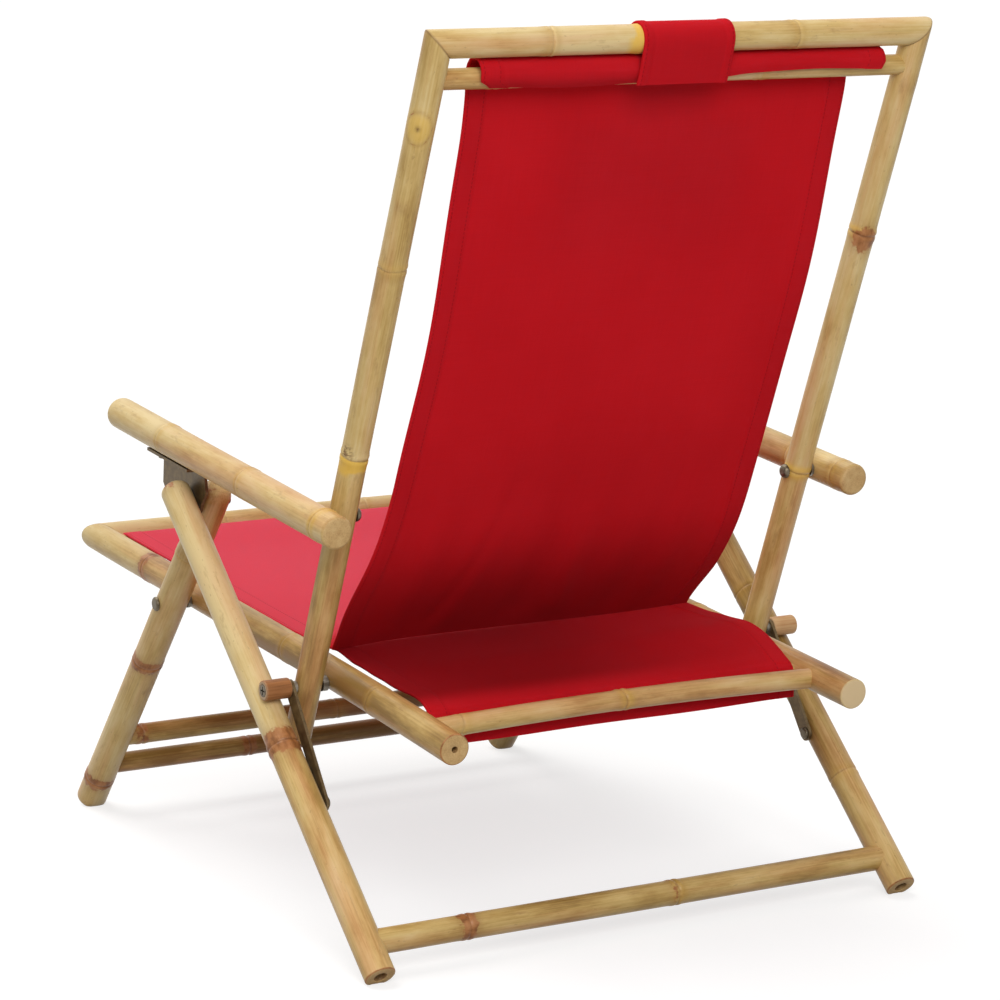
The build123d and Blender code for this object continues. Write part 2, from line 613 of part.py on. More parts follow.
def main():
    os.makedirs("parts", exist_ok=True)
    write_pair("seat_rail", seat_rail())
    write("seat_front_bar", mitred_bar(SEAT_RAIL_X, SEAT_RAIL_D, SEAT_CORNER, RAIL_DIR))
    write("seat_rear_bar", crossbar(SEAT_RAIL_X, SEAT_RAIL_D, SEAT_REAR_BAR, SEAT_REAR_BAR_D))
    write("sling_bar_front", crossbar(SEAT_RAIL_X, SEAT_RAIL_D, FRONT_SLING_BAR, FRONT_SLING_BAR_D))
    write("sling_bar_rear", crossbar(SEAT_RAIL_X, SEAT_RAIL_D, REAR_SLING_BAR, REAR_SLING_BAR_D))
    write("hinge_bolts", both_sides(hinge_bolt()))
    write_pair("hinge_peg", hinge_peg())
    write("hinge_washers", both_sides(hinge_washer()))
    write("strap_spacers", both_sides(strap_spacer()))
    write("leg_bolts", both_sides(leg_bolt()))
    write("leg_washers", both_sides(leg_washer()))
    write("seat_sling", seat_sling())
    write("lumbar_sling", lumbar_sling())

    write_pair("back_pole", back_pole())
    write("back_top_bar", mitred_bar(BACK_POLE_X, BACK_POLE_D, BACK_CORNER, BACK_DIR * -1))
    write("sling_bar_upper", crossbar(BACK_POLE_X, BACK_POLE_D, UPPER_SLING_BAR, UPPER_SLING_BAR_D))
    write("arm_bolts", both_sides(arm_bolt()))
    write("arm_washers", both_sides(arm_washer()))
    write("back_sling", back_sling())
    write("headrest_pillow", headrest_pillow())
    write("headrest_strap", headrest_strap())

    write_pair("armrest", armrest())
    write_pair("arm_bracket", arm_bracket())
    write_pair("bracket_screws", bracket_screws())
    write_pair("leg_rivet", leg_rivet())

    write_pair("front_leg", front_leg())
    write("front_crossbar_lower", crossbar(FRONT_LEG_X, FRONT_LEG_D, FRONT_BAR_LOW, FRONT_CROSSBAR_D))
    write("front_crossbar_upper", crossbar(FRONT_LEG_X, FRONT_LEG_D, FRONT_BAR_HIGH, FRONT_CROSSBAR_D))
    write("leg_top_bolts", both_sides(leg_top_bolt()))

    write_pair("strap", strap())

    write_pair("rear_leg", rear_leg())
    write("rear_crossbar", crossbar(REAR_LEG_X, REAR_LEG_D, REAR_BAR, REAR_CROSSBAR_D))
    write("strap_screws", both_sides(strap_screw()))


main()
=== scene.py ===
import math

import bpy
import numpy as np
from mathutils import Matrix, Vector


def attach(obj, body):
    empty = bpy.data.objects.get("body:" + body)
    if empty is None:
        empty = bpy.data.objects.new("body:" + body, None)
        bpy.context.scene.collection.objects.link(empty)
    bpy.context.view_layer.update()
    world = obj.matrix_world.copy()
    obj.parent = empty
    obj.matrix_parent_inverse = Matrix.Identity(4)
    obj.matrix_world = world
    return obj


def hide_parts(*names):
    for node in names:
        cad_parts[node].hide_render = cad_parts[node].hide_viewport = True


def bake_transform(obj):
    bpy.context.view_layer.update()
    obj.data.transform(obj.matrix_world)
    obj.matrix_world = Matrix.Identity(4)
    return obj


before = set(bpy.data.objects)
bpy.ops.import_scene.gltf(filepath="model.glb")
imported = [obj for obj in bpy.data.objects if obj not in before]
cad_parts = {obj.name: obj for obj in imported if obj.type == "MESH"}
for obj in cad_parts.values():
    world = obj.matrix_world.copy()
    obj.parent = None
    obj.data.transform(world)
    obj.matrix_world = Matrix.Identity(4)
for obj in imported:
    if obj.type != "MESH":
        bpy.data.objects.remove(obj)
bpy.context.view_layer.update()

# A bamboo reclining chair with a canvas sling. Sizes in millimetres, mostly as in the solids, with
# X to the sitter's left, Y to the rear and Z up. A point in the side view is a pair of Y and Z.
MM = 0.001
HINGE = np.array([155.5, 238.0])
LEG_BOLT = np.array([-153.5, 265.0])
ARM_BOLT = np.array([229.5, 416.5])
ARM_TILT = math.radians(5.9)
RAIL_X, BACK_X, FRONT_X, REAR_X, ARM_X = 225.0, 260.0, 261.0, 297.0, 293.0
RAIL_D, BACK_D, FRONT_D, REAR_D, ARM_D = 31.0, 27.0, 33.0, 31.0, 33.0
SLING_UPPER_D, SLING_FRONT_D, SLING_REAR_D = 20.0, 18.0, 16.0
REAR_BAR_D, FRONT_CROSS_D, REAR_CROSS_D = 20.5, 22.0, 25.0
PEG_D, PEG_GAP, PEG_INNER, PEG_OUTER = 20.4, 0.3, 281.05, 309.0
CANVAS_T, BAND_T, CLOTH_OFF = 1.8, 2.2, 1.3
SEAT_HALF, PANEL_HALF, BAND_LEFT, BAND_RIGHT = 208.5, 207.8, 54.0, 44.0
SIDES = (("left", 1.0), ("right", -1.0))

# Distances along the canes
BRACKET_FORWARD, BRACKET_DROP = 274.7, 39.53
ARM_FRONT, ARM_REAR = 435.0, 54.5
RAIL_FRONT, RAIL_REAR = 263.7, 227.9
BACK_REACH, BACK_TAIL = 679.4, 61.0
REAR_BAR_IN, SLING_REAR_IN, SLING_FRONT_IN, SLING_UPPER_IN = 60.5, 27.0, 29.0, 34.4
FRONT_LOW_UP, FRONT_HIGH_UP, LEG_BAR_UP = 68.5, 118.0, 49.8
FRONT_TOP, REAR_TOP, FOOT_SINK = 18.0, 22.0, 3.0
BAR_SHORT, CROSS_SHORT = 4.0, 5.0


def unit(v):
    return v / np.linalg.norm(v)


# Pivots and directions in the side view
ARM_DIR = np.array([math.cos(ARM_TILT), -math.sin(ARM_TILT)])
ARM_DOWN = np.array([ARM_DIR[1], -ARM_DIR[0]])
LEG_TOP = ARM_BOLT - ARM_DIR * BRACKET_FORWARD + ARM_DOWN * (ARM_D / 2 + BRACKET_DROP)
RAIL_DIR = unit(HINGE - LEG_BOLT)
BACK_DIR = unit(ARM_BOLT - HINGE)
FRONT_DIR = unit(LEG_BOLT - LEG_TOP)
PEG_REACH = REAR_D / 2 + PEG_D / 2 + PEG_GAP
SPAN = np.linalg.norm(HINGE - LEG_TOP)
REAR_ANGLE = math.atan2(*(HINGE - LEG_TOP)[::-1]) - math.asin(PEG_REACH / SPAN)
REAR_DIR = np.array([math.cos(REAR_ANGLE), math.sin(REAR_ANGLE)])
SEAT_CORNER = LEG_BOLT - RAIL_DIR * RAIL_FRONT
RAIL_END = HINGE + RAIL_DIR * RAIL_REAR
REAR_BAR = RAIL_END - RAIL_DIR * REAR_BAR_IN
SLING_FRONT = SEAT_CORNER + RAIL_DIR * SLING_FRONT_IN
SLING_REAR = REAR_BAR - RAIL_DIR * SLING_REAR_IN
BACK_CORNER = HINGE + BACK_DIR * BACK_REACH
BACK_FOOT = HINGE - BACK_DIR * BACK_TAIL
SLING_UPPER = BACK_CORNER - BACK_DIR * SLING_UPPER_IN
FRONT_FLOOR = LEG_TOP - FRONT_DIR * (LEG_TOP[1] / FRONT_DIR[1])
REAR_FLOOR = LEG_TOP - REAR_DIR * (LEG_TOP[1] / REAR_DIR[1])
FRONT_LOW = FRONT_FLOOR - FRONT_DIR * FRONT_LOW_UP
FRONT_HIGH = FRONT_FLOOR - FRONT_DIR * FRONT_HIGH_UP
LEG_BAR = REAR_FLOOR - REAR_DIR * LEG_BAR_UP

# The crease between seat and back, 3.5 mm lower than in the solids. It falls at its left end and
# rises at its right.
FOLD = np.array([116.0, 263.0])
FOLD_DROP, FOLD_RISE, FOLD_HALF, FOLD_FADE = 3.0, 2.0, 212.0, 46.0


def at(x, p):
    return np.array([x, p[0], p[1]])


def leg_ends(direction, dia, reach):
    height = dia / 2 * abs(direction[0]) - FOOT_SINK
    foot = LEG_TOP + direction * ((height - LEG_TOP[1]) / direction[1])
    return LEG_TOP - direction * reach, foot


def add_object(name, data):
    obj = bpy.data.objects.new(name, data)
    bpy.context.scene.collection.objects.link(obj)
    return obj


# Camera, at the viewing angle of the photograph. FOCAL is in sensor widths.
SENSOR, FOCAL = 36.0, 3.592


def make_camera():
    right = Vector((-0.86444, 0.50273, 0.00043)).normalized()
    forward = Vector((-0.49513, -0.85124, -0.17390)).normalized()
    up = right.cross(forward).normalized()
    data = bpy.data.cameras.new("camera")
    data.sensor_width = SENSOR
    data.lens = SENSOR * FOCAL
    data.clip_start, data.clip_end = 0.05, 60.0
    cam = add_object("camera", data)
    m = Matrix((right, up, -forward)).transposed().to_4x4()
    m.translation = Vector((1.80604, 3.18307, 1.01965))
    cam.matrix_world = m
    bpy.context.scene.camera = cam


# Node helpers
class Nodes:
    def __init__(self, name):
        self.mat = bpy.data.materials.new(name)
        self.mat.use_nodes = True
        self.tree = self.mat.node_tree
        self.shader = self.tree.nodes["Principled BSDF"]

    def add(self, kind, **props):
        node = self.tree.nodes.new(kind)
        for key, value in props.items():
            setattr(node, key, value)
        return node

    def link(self, a, b):
        self.tree.links.new(a, b)

    def put(self, socket, value):
        if hasattr(value, "links"):
            self.link(value, socket)
        else:
            socket.default_value = value

    def wired(self, kind, **inputs):
        node = self.add(kind)
        for key, value in inputs.items():
            self.put(node.inputs[key], value)
        return node

    def attribute(self, name):
        return self.add("ShaderNodeAttribute", attribute_name=name, attribute_type="GEOMETRY")

    def math(self, op, a, b=0.0, clamp=False):
        node = self.add("ShaderNodeMath", operation=op, use_clamp=clamp)
        self.put(node.inputs[0], a)
        self.put(node.inputs[1], b)
        return node.outputs[0]

    def times(self, a, b, clamp=False):
        return self.math("MULTIPLY", a, b, clamp)

    def noise(self, vector, scale, detail=3.0, rough=0.5):
        moved = self.wired("ShaderNodeMapping", Vector=vector, Scale=scale).outputs[0]
        node = self.wired("ShaderNodeTexNoise", Vector=moved, Scale=1.0, Detail=detail,
                          Roughness=rough)
        return node.outputs["Fac"]

    def ramp(self, fac, stops):
        node = self.add("ShaderNodeValToRGB")
        points = node.color_ramp.elements
        while len(points) < len(stops):
            points.new(0.5)
        for point, (pos, color) in zip(points, stops):
            point.position = pos
            point.color = (*color, 1.0)
        self.put(node.inputs[0], fac)
        return node.outputs[0]

    def above(self, fac, low, high):
        return self.ramp(fac, [(low, (0, 0, 0)), (high, (1, 1, 1))])

    def weigh(self, *parts):
        total = None
        for value, weight in parts:
            part = self.times(value, weight)
            total = part if total is None else self.math("ADD", total, part)
        return total

    def mix(self, fac, a, b, mode="MIX"):
        node = self.add("ShaderNodeMix", data_type="RGBA", blend_type=mode)
        self.put(node.inputs[0], fac)
        for socket, value in ((node.inputs[6], a), (node.inputs[7], b)):
            self.put(socket, (*value, 1.0) if isinstance(value, tuple) else value)
        return node.outputs[2]

    def scaled(self, value, low, high):
        node = self.add("ShaderNodeMapRange")
        self.put(node.inputs[0], value)
        node.inputs[3].default_value = low
        node.inputs[4].default_value = high
        return node.outputs[0]

    def bump(self, height, strength, distance):
        node = self.wired("ShaderNodeBump", Height=height, Strength=strength, Distance=distance)
        return node.outputs[0]

    def set(self, **values):
        for key, value in values.items():
            self.put(self.shader.inputs[key.replace("_", " ")], value)


def bamboo_material():
    n = Nodes("bamboo")
    grain = n.attribute("grain").outputs["Vector"]
    marks = n.attribute("marks")
    split = n.add("ShaderNodeSeparateColor")
    n.link(marks.outputs["Color"], split.inputs[0])
    dark, pale, brown = split.outputs
    cap = marks.outputs["Alpha"]
    tone = n.attribute("tone").outputs["Fac"]
    fibre = n.noise(grain, (7.0, 620.0, 620.0), 4.0, 0.6)
    blotch = n.noise(grain, (17.0, 70.0, 70.0), 4.0, 0.6)
    cloud = n.noise(grain, (4.5, 16.0, 16.0), 2.0)
    mixed = n.weigh((fibre, 0.26), (blotch, 0.56), (cloud, 0.42))
    mixed = n.math("ADD", mixed, n.math("ADD", n.times(tone, 0.15), -0.06))
    straw = n.ramp(mixed, [
        (0.36, (0.290, 0.165, 0.042)), (0.49, (0.490, 0.310, 0.095)),
        (0.60, (0.635, 0.440, 0.165)), (0.76, (0.740, 0.570, 0.280)),
    ])
    tan = n.ramp(mixed, [
        (0.36, (0.310, 0.140, 0.044)), (0.49, (0.510, 0.265, 0.092)),
        (0.60, (0.640, 0.378, 0.155)), (0.76, (0.720, 0.480, 0.245)),
    ])
    ruddy = n.noise(grain, (3.5, 34.0, 34.0), 3.0, 0.55)
    ruddy = n.above(n.math("SUBTRACT", ruddy, n.times(tone, 0.04)), 0.46, 0.64)
    color = n.mix(ruddy, straw, tan)
    streak = n.above(n.noise(grain, (9.0, 300.0, 300.0), 2.0, 0.5), 0.62, 0.76)
    color = n.mix(n.times(streak, 0.22), color, (0.30, 0.150, 0.045))
    patch = n.above(n.noise(grain, (26.0, 95.0, 95.0), 4.0, 0.65), 0.60, 0.74)
    color = n.mix(n.times(patch, 0.50), color, (0.33, 0.175, 0.062))
    specks = n.above(n.noise(grain, (170.0, 420.0, 420.0), 2.0, 0.5), 0.68, 0.75)
    color = n.mix(n.times(specks, 0.32), color, (0.22, 0.100, 0.032))
    torn = n.noise(grain, (150.0, 170.0, 170.0), 4.0, 0.6)
    ragged = n.scaled(torn, 0.1, 1.7)
    solid = n.math("ADD", brown, n.times(n.math("SUBTRACT", torn, 0.5), 0.9))
    solid = n.above(solid, 0.50, 0.62)
    singed = n.ramp(n.noise(grain, (60.0, 120.0, 120.0), 4.0, 0.6), [
        (0.36, (0.225, 0.075, 0.020)), (0.50, (0.385, 0.150, 0.048)),
        (0.64, (0.470, 0.205, 0.080)),
    ])
    color = n.mix(n.times(pale, 0.85, True), color, (0.800, 0.490, 0.070))
    smeared = n.times(n.times(brown, ragged), 0.6, True)
    color = n.mix(smeared, color, (0.240, 0.085, 0.022))
    color = n.mix(n.times(solid, 0.92), color, singed)
    color = n.mix(n.times(dark, ragged, True), color, (0.105, 0.038, 0.011))
    pores = n.noise(grain, (40.0, 760.0, 760.0), 2.0, 0.5)
    rays = n.noise(grain, (30.0, 120.0, 120.0), 3.0, 0.5)
    end = n.ramp(n.weigh((pores, 0.45), (rays, 0.55)), [
        (0.30, (0.440, 0.255, 0.098)), (0.50, (0.570, 0.365, 0.155)),
        (0.70, (0.660, 0.460, 0.215)),
    ])
    end = n.mix(n.math("SUBTRACT", tone, 1.0, True), end, (0.740, 0.555, 0.315))
    bare = n.math("SUBTRACT", 1.0, n.math("MAXIMUM", dark, brown), True)
    color = n.mix(n.times(cap, bare), color, end)
    rough = n.math("ADD", n.scaled(fibre, 0.30, 0.50), n.times(cap, 0.28), True)
    height = n.math("ADD", fibre, n.times(patch, -0.5))
    n.set(Base_Color=color, Roughness=rough, Normal=n.bump(height, 0.4, 0.0004),
          Specular_IOR_Level=0.24, Coat_Weight=0.07, Coat_Roughness=0.2)
    return n.mat


# Canvas: the red with its painted sheen form, a pale pink-red put on where the cloth is seen
# edge-on, and its painted shade form, then the pitch of threads and of stitches and half a
# stitch's width, in metres
RED_DEEP, RED_LIT = (0.510, 0.0070, 0.0130), (0.605, 0.0115, 0.0200)
RED_PAINTED_SHEEN, RED_SHADED = (0.800, 0.082, 0.125), (0.055, 0.0004, 0.0006)
RED_STITCH = tuple(0.45 * c for c in RED_DEEP)
THREAD, STITCH, STITCH_HALF = 0.00105, 0.0042, 0.00055


def canvas_material(name, stitch_lines):
    n = Nodes(name)
    cloth = n.attribute("cloth").outputs["Vector"]
    split = n.add("ShaderNodeSeparateXYZ")
    n.link(cloth, split.inputs[0])
    across, along, edge = split.outputs
    turn = 2 * math.pi / THREAD
    warp = n.math("SINE", n.times(across, turn))
    weft = n.math("SINE", n.times(along, turn))
    weave = n.math("ADD", n.times(n.times(warp, weft), 0.25), 0.5)
    thread_a = n.noise(cloth, (900.0, 18.0, 1.0), 2.0)
    thread_b = n.noise(cloth, (18.0, 900.0, 1.0), 2.0)
    slub = n.times(n.math("ADD", thread_a, thread_b), 0.5)
    cloud = n.noise(cloth, (7.0, 5.0, 1.0), 3.0, 0.5)
    color = n.ramp(n.weigh((slub, 0.45), (cloud, 0.55)), [(0.30, RED_DEEP), (0.70, RED_LIT)])
    # Painted light per point: above 0 a painted sheen, the pale pink-red mixed in as the surface
    # turns edge-on; below 0 painted shade, a near-black red.
    painted_light = n.attribute("painted_light").outputs["Fac"]
    facing = n.wired("ShaderNodeLayerWeight", Blend=0.5).outputs["Facing"]
    grazing_sheen = n.ramp(facing, [(0.42, (0.2, 0.2, 0.2)), (0.66, (1.0, 1.0, 1.0))])
    color = n.mix(n.times(n.math("MAXIMUM", painted_light, 0.0), grazing_sheen), color, RED_PAINTED_SHEEN)
    color = n.mix(n.math("MAXIMUM", n.times(painted_light, -1.0), 0.0), color, RED_SHADED)
    color = n.mix(1.0, color, n.scaled(weave, 0.86, 1.06), "MULTIPLY")
    dash = n.math("SINE", n.times(along, 2 * math.pi / STITCH))
    dash = n.math("GREATER_THAN", dash, -0.35)
    stitch = None
    for line in stitch_lines:
        away = n.math("ABSOLUTE", n.math("SUBTRACT", edge, line))
        on = n.times(n.math("LESS_THAN", away, STITCH_HALF), dash)
        stitch = on if stitch is None else n.math("MAXIMUM", stitch, on)
    color = n.mix(n.times(stitch, 0.45), color, RED_STITCH)
    height = n.weigh((weave, 0.6), (slub, 0.8))
    height = n.math("SUBTRACT", height, n.times(stitch, 1.2))
    n.set(Base_Color=color, Roughness=n.scaled(slub, 0.80, 0.95),
          Normal=n.bump(height, 0.5, 0.0004),
          Subsurface_Weight=0.5, Subsurface_Radius=(1.0, 0.08, 0.08), Subsurface_Scale=0.006,
          Sheen_Weight=0.05, Sheen_Roughness=0.30, Sheen_Tint=(1.0, 0.42, 0.50, 1.0),
          Specular_IOR_Level=0.06)
    return n.mat


def metal_material(name, base, rubbed_and_painted_light, metallic, rough):
    n = Nodes(name)
    place = n.add("ShaderNodeTexCoord").outputs["Object"]
    cloud = n.noise(place, (110.0, 110.0, 110.0), 4.0, 0.6)
    brushed = n.noise(place, (260.0, 2600.0, 900.0), 2.0, 0.6)
    color = n.ramp(n.weigh((cloud, 0.7), (brushed, 0.3)), [(0.36, base), (0.72, rubbed_and_painted_light)])
    n.set(Base_Color=color, Metallic=metallic,
          Roughness=n.scaled(cloud, rough - 0.1, rough + 0.14),
          Normal=n.bump(n.math("ADD", brushed, cloud), 0.12, 0.0003))
    return n.mat


def peg_material():
    n = Nodes("peg_wood")
    grain = n.attribute("grain").outputs["Vector"]
    marks = n.attribute("marks")
    fibre = n.noise(grain, (14.0, 420.0, 420.0), 4.0, 0.6)
    cloud = n.noise(grain, (30.0, 60.0, 60.0), 2.0)
    tone = n.times(n.attribute("tone").outputs["Fac"], 0.3)
    color = n.ramp(n.math("ADD", n.weigh((fibre, 0.6), (cloud, 0.4)), tone), [
        (0.34, (0.190, 0.070, 0.020)), (0.52, (0.350, 0.140, 0.046)),
        (0.70, (0.470, 0.220, 0.085)), (0.92, (0.600, 0.370, 0.180)),
    ])
    color = n.mix(n.times(marks.outputs["Alpha"], 0.8), color, (0.48, 0.350, 0.215))
    n.set(Base_Color=color, Roughness=n.scaled(fibre, 0.42, 0.6), Specular_IOR_Level=0.25,
          Normal=n.bump(fibre, 0.5, 0.0005))
    return n.mat


BAMBOO = bamboo_material()
PEG = peg_material()
CANVAS = canvas_material("canvas", (0.003, 0.019))
STRAP_CLOTH = canvas_material("strap_cloth", (0.003,))
PILLOW_CLOTH = canvas_material("pillow_cloth", (0.004,))
BRONZE = metal_material("bronze_metal", (0.085, 0.052, 0.019), (0.230, 0.160, 0.075), 0.6, 0.42)
STEEL = metal_material("screw_metal", (0.075, 0.058, 0.036), (0.23, 0.19, 0.135), 0.85, 0.36)
WASHER = metal_material("washer_metal", (0.13, 0.112, 0.085), (0.32, 0.285, 0.235), 0.85, 0.40)


# Mesh helpers
def make_mesh(name, verts, faces, material, attributes, sharp=50.0):
    mesh = bpy.data.meshes.new(name)
    mesh.from_pydata([tuple(v) for v in np.asarray(verts) * MM], [], faces)
    for key, (kind, values) in attributes.items():
        layer = mesh.attributes.new(key, kind, "POINT")
        field = {"FLOAT": "value", "FLOAT_VECTOR": "vector", "FLOAT_COLOR": "color"}[kind]
        layer.data.foreach_set(field, np.asarray(values, np.float32).ravel())
    mesh.materials.append(material)
    mesh.shade_smooth()
    mesh.set_sharp_from_angle(angle=math.radians(sharp))
    return add_object(name, mesh)


def bell(d, width):
    return np.exp(-(d / width) ** 2)


def step_up(x, low, high):
    t = np.clip((x - low) / (high - low), 0, 1)
    return t * t * (3 - 2 * t)


def grid(rows, columns):
    """The corners of each cell in a grid of points, and the pairs of points along its rim."""
    cells = np.arange(rows * columns).reshape(rows, columns)
    quads = [(cells[i, j], cells[i, j + 1], cells[i + 1, j + 1], cells[i + 1, j])
             for i in range(rows - 1) for j in range(columns - 1)]
    rim = [*cells[0, :], *cells[1:, -1], *cells[-1, -2::-1], *cells[-2:0:-1, 0]]
    return quads, list(zip(rim, rim[1:] + rim[:1]))


# A bamboo cane with swollen node rings. END_ROUND is the rounding of each kind of open end, of
# which cut has a pith hole and pale has bare wood. Mitre and tenon ends are hidden in a joint.
SEGMENTS = 44
END_ROUND = {"cut": 1.5, "plain": 1.5, "pale": 1.5, "soft": 4.5, "round": 7.0, "dome": 9.0}
PITH_DEPTH = 9.0
RING_OFFSETS = (-15, -11, -8, -6, -4.6, -3.4, -2.6, -2.0, -1.5, -1.0, -0.6, -0.2, 0.3,
                0.8, 1.4, 2.0, 2.8, 3.8, 5, 6.5, 9, 12)


def end_rings(kind, radius, hole):
    """How deep the middle of an end lies, and its rings from the middle out as depth and radius."""
    if kind not in END_ROUND:
        return 0.0, [(0.0, radius * 0.5), (0.0, radius - 0.35)]
    e = END_ROUND[kind]
    steps = np.linspace(0, math.pi / 2, 5 if e < 3 else 10)
    rim = [(e - e * math.cos(a), radius - e + e * math.sin(a)) for a in steps][:-1]
    if kind == "cut":
        pith = [(PITH_DEPTH, hole - 0.3), (0.5, hole), (0.0, hole + 0.5)]
        return PITH_DEPTH, pith + [(0.0, (hole + radius) / 2)] + rim
    return -0.2, [(-0.15, radius * 0.2), (0.0, (radius - e) * 0.7)] + rim


def pole(name, node, body, start, end, dia, rings, ends, mitre=(None, None), tone=0.0, seed=0,
         scars=(), bow=(0.0, 1.0), crook=0.0, hole=3.0, material=None, slot="bamboo", floor=False,
         shades=None):
    """rings and scars are marks along the cane, shades the tones between its rings; bow bends it
    upwards, crook sets it off sideways at each ring, floor cuts it off at the floor."""
    rng = np.random.default_rng(1000 + seed)
    axis = end - start
    length = float(np.linalg.norm(axis))
    axis = axis / length
    side = np.array([1.0, 0, 0]) if abs(axis[0]) < 0.9 else np.array([0, 0, 1.0])
    u = unit(side - axis * (side @ axis))
    v = np.cross(axis, u)
    phi = np.linspace(0, 2 * math.pi, SEGMENTS, endpoint=False)
    radial = np.outer(np.cos(phi), u) + np.outer(np.sin(phi), v)
    w = rng.uniform(0, 6.28, 8)
    radius = dia / 2 - 0.25

    stations = list(np.arange(5.0, length - 5.0, 8.0))
    for at_t, *_ in rings:
        stations += [at_t + d for d in RING_OFFSETS]
    for at_t, _, width, *_ in scars:
        stations += list(np.arange(at_t - 2.2 * width, at_t + 2.2 * width, 2.0))
    reach = [max(1.8, END_ROUND.get(kind, 0.0) + 0.2) for kind in ends]
    kept = [reach[0]]
    for t in sorted(stations):
        if kept[-1] + 0.35 < t < length - reach[1] - 0.35:
            kept.append(float(t))
    kept.append(length - reach[1])
    depth_a, rings_a = end_rings(ends[0], radius, hole)
    depth_b, rings_b = end_rings(ends[1], radius, hole)
    rows = rings_a + [(t, None) for t in kept] + [(length - t, r) for t, r in rings_b[::-1]]
    ts = np.array([row[0] for row in rows])
    is_cap = np.array([row[1] is not None for row in rows])
    tt, pp = ts[:, None], phi[None, :]

    def ring_distance(at_t):
        k = at_t * 0.37 + w[0]
        return (tt - at_t + 0.8 * np.cos(pp + k) + 0.35 * np.sin(2 * pp + 1.7 * k)
                + 0.2 * np.sin(5 * pp + 3 * k))

    rad = radius * (1 + 0.006 * np.sin(2 * pp + w[1] + 0.004 * tt)
                    + 0.003 * np.sin(3 * pp + w[2] - 0.006 * tt))
    rad = rad + 0.10 * np.sin(tt * 0.021 + w[3])
    for at_t, size, *_ in rings:
        d = ring_distance(at_t)
        lump = 1.0 + 0.35 * np.sin(pp + at_t) + 0.2 * np.sin(3 * pp + w[4])
        rad = rad + size * lump * (0.62 * bell(d - 2.4, 2.8) + 0.55 * bell(d + 4.4, 3.4))
        rad = rad - 0.55 * size * bell(d + 0.9, 1.0)
    for i, (_, r) in enumerate(rows):
        if r is not None:
            rad[i] = r
    shift = np.zeros((len(rows), SEGMENTS))
    for plane, origin in zip(mitre, (0.0, length)):
        if plane is not None:
            slope = -(radial @ plane) / (axis @ plane)
            fade = np.clip(1 - np.abs(ts - origin) / (2.4 * dia), 0, 1) ** 2
            shift += rad * slope[None, :] * fade[:, None]
    along = tt + shift
    line = start + along[:, :, None] * axis
    share = np.clip(ts / length, 0, 1)
    drift = bow[0] * np.sin(math.pi * share ** bow[1])
    line = line + drift[:, None, None] * np.array([0.0, 0.0, 1.0])
    if crook:
        knots = [0.0] + sorted(r[0] for r in rings) + [length]
        offsets = [0.0] + [crook * rng.uniform(-1, 1) for _ in rings] + [0.0]
        line = line + np.interp(ts, knots, offsets)[:, None, None] * v
    points = line + rad[:, :, None] * radial
    grain = np.stack([along, rad * np.cos(pp), rad * np.sin(pp)], axis=2) * MM
    grain = grain + rng.uniform(-8, 8, 3)
    dark, pale, brown, painted_reflection = (np.zeros((len(rows), SEGMENTS)) for _ in range(4))
    for at_t, _, line_dark, ring_pale, ring_brown in rings:
        d = ring_distance(at_t)
        fade = 0.55 + 0.45 * np.sin(pp * 2 + at_t + w[5])
        dark = np.maximum(dark, line_dark * fade * bell(d + 0.9, 1.0))
        if ring_pale > 1.0:
            low_edge = -14.5 - 2.0 * np.sin(2 * pp + at_t)
            band = step_up(d - low_edge, -1.0, 1.0) * (1 - step_up(d, -1.6, -0.4))
        else:
            band = ring_pale * (bell(d - 3.6, 4.2) + 0.8 * bell(d + 4.6, 4.0))
        pale = np.maximum(pale, band)
        smear = bell(d + 5.5, 6.5) + 0.6 * bell(d - 4.5, 3.6)
        if ring_brown > 0.8:
            smear = bell((d + 2.0) / (3.0 + 10.5 * (ring_brown - 0.3)), 1.0) ** 0.6
        brown = np.maximum(brown, ring_brown * smear * (0.85 + 0.15 * np.sin(pp + w[6])))
    for at_t, toward, width, kind, amount in scars:
        middle = math.atan2(toward @ v, toward @ u)
        turn = ((phi - middle + math.pi) % (2 * math.pi) - math.pi)[None, :] * radius
        spot = bell((tt - at_t) / width, 1.0) * bell(turn / width, 1.0)
        if kind == "eye":
            pale = np.maximum(pale, amount * np.clip(spot * 1.9, 0, 1))
            far = np.hypot((tt - at_t) * 0.8, turn)
            brown = np.maximum(brown, 0.55 * bell(far - width * 1.02, 1.5))
            dark = np.maximum(dark, 0.9 * bell(far, 2.0))
            bump = 1.2 * np.clip(spot * 1.3, 0, 1)
        elif kind == "scuff":
            flecks = rng.uniform(0, 1, dark.shape) < 0.4
            dark = np.maximum(dark, amount * np.clip(spot * 1.6, 0, 1) * flecks)
            bump = -0.3 * spot
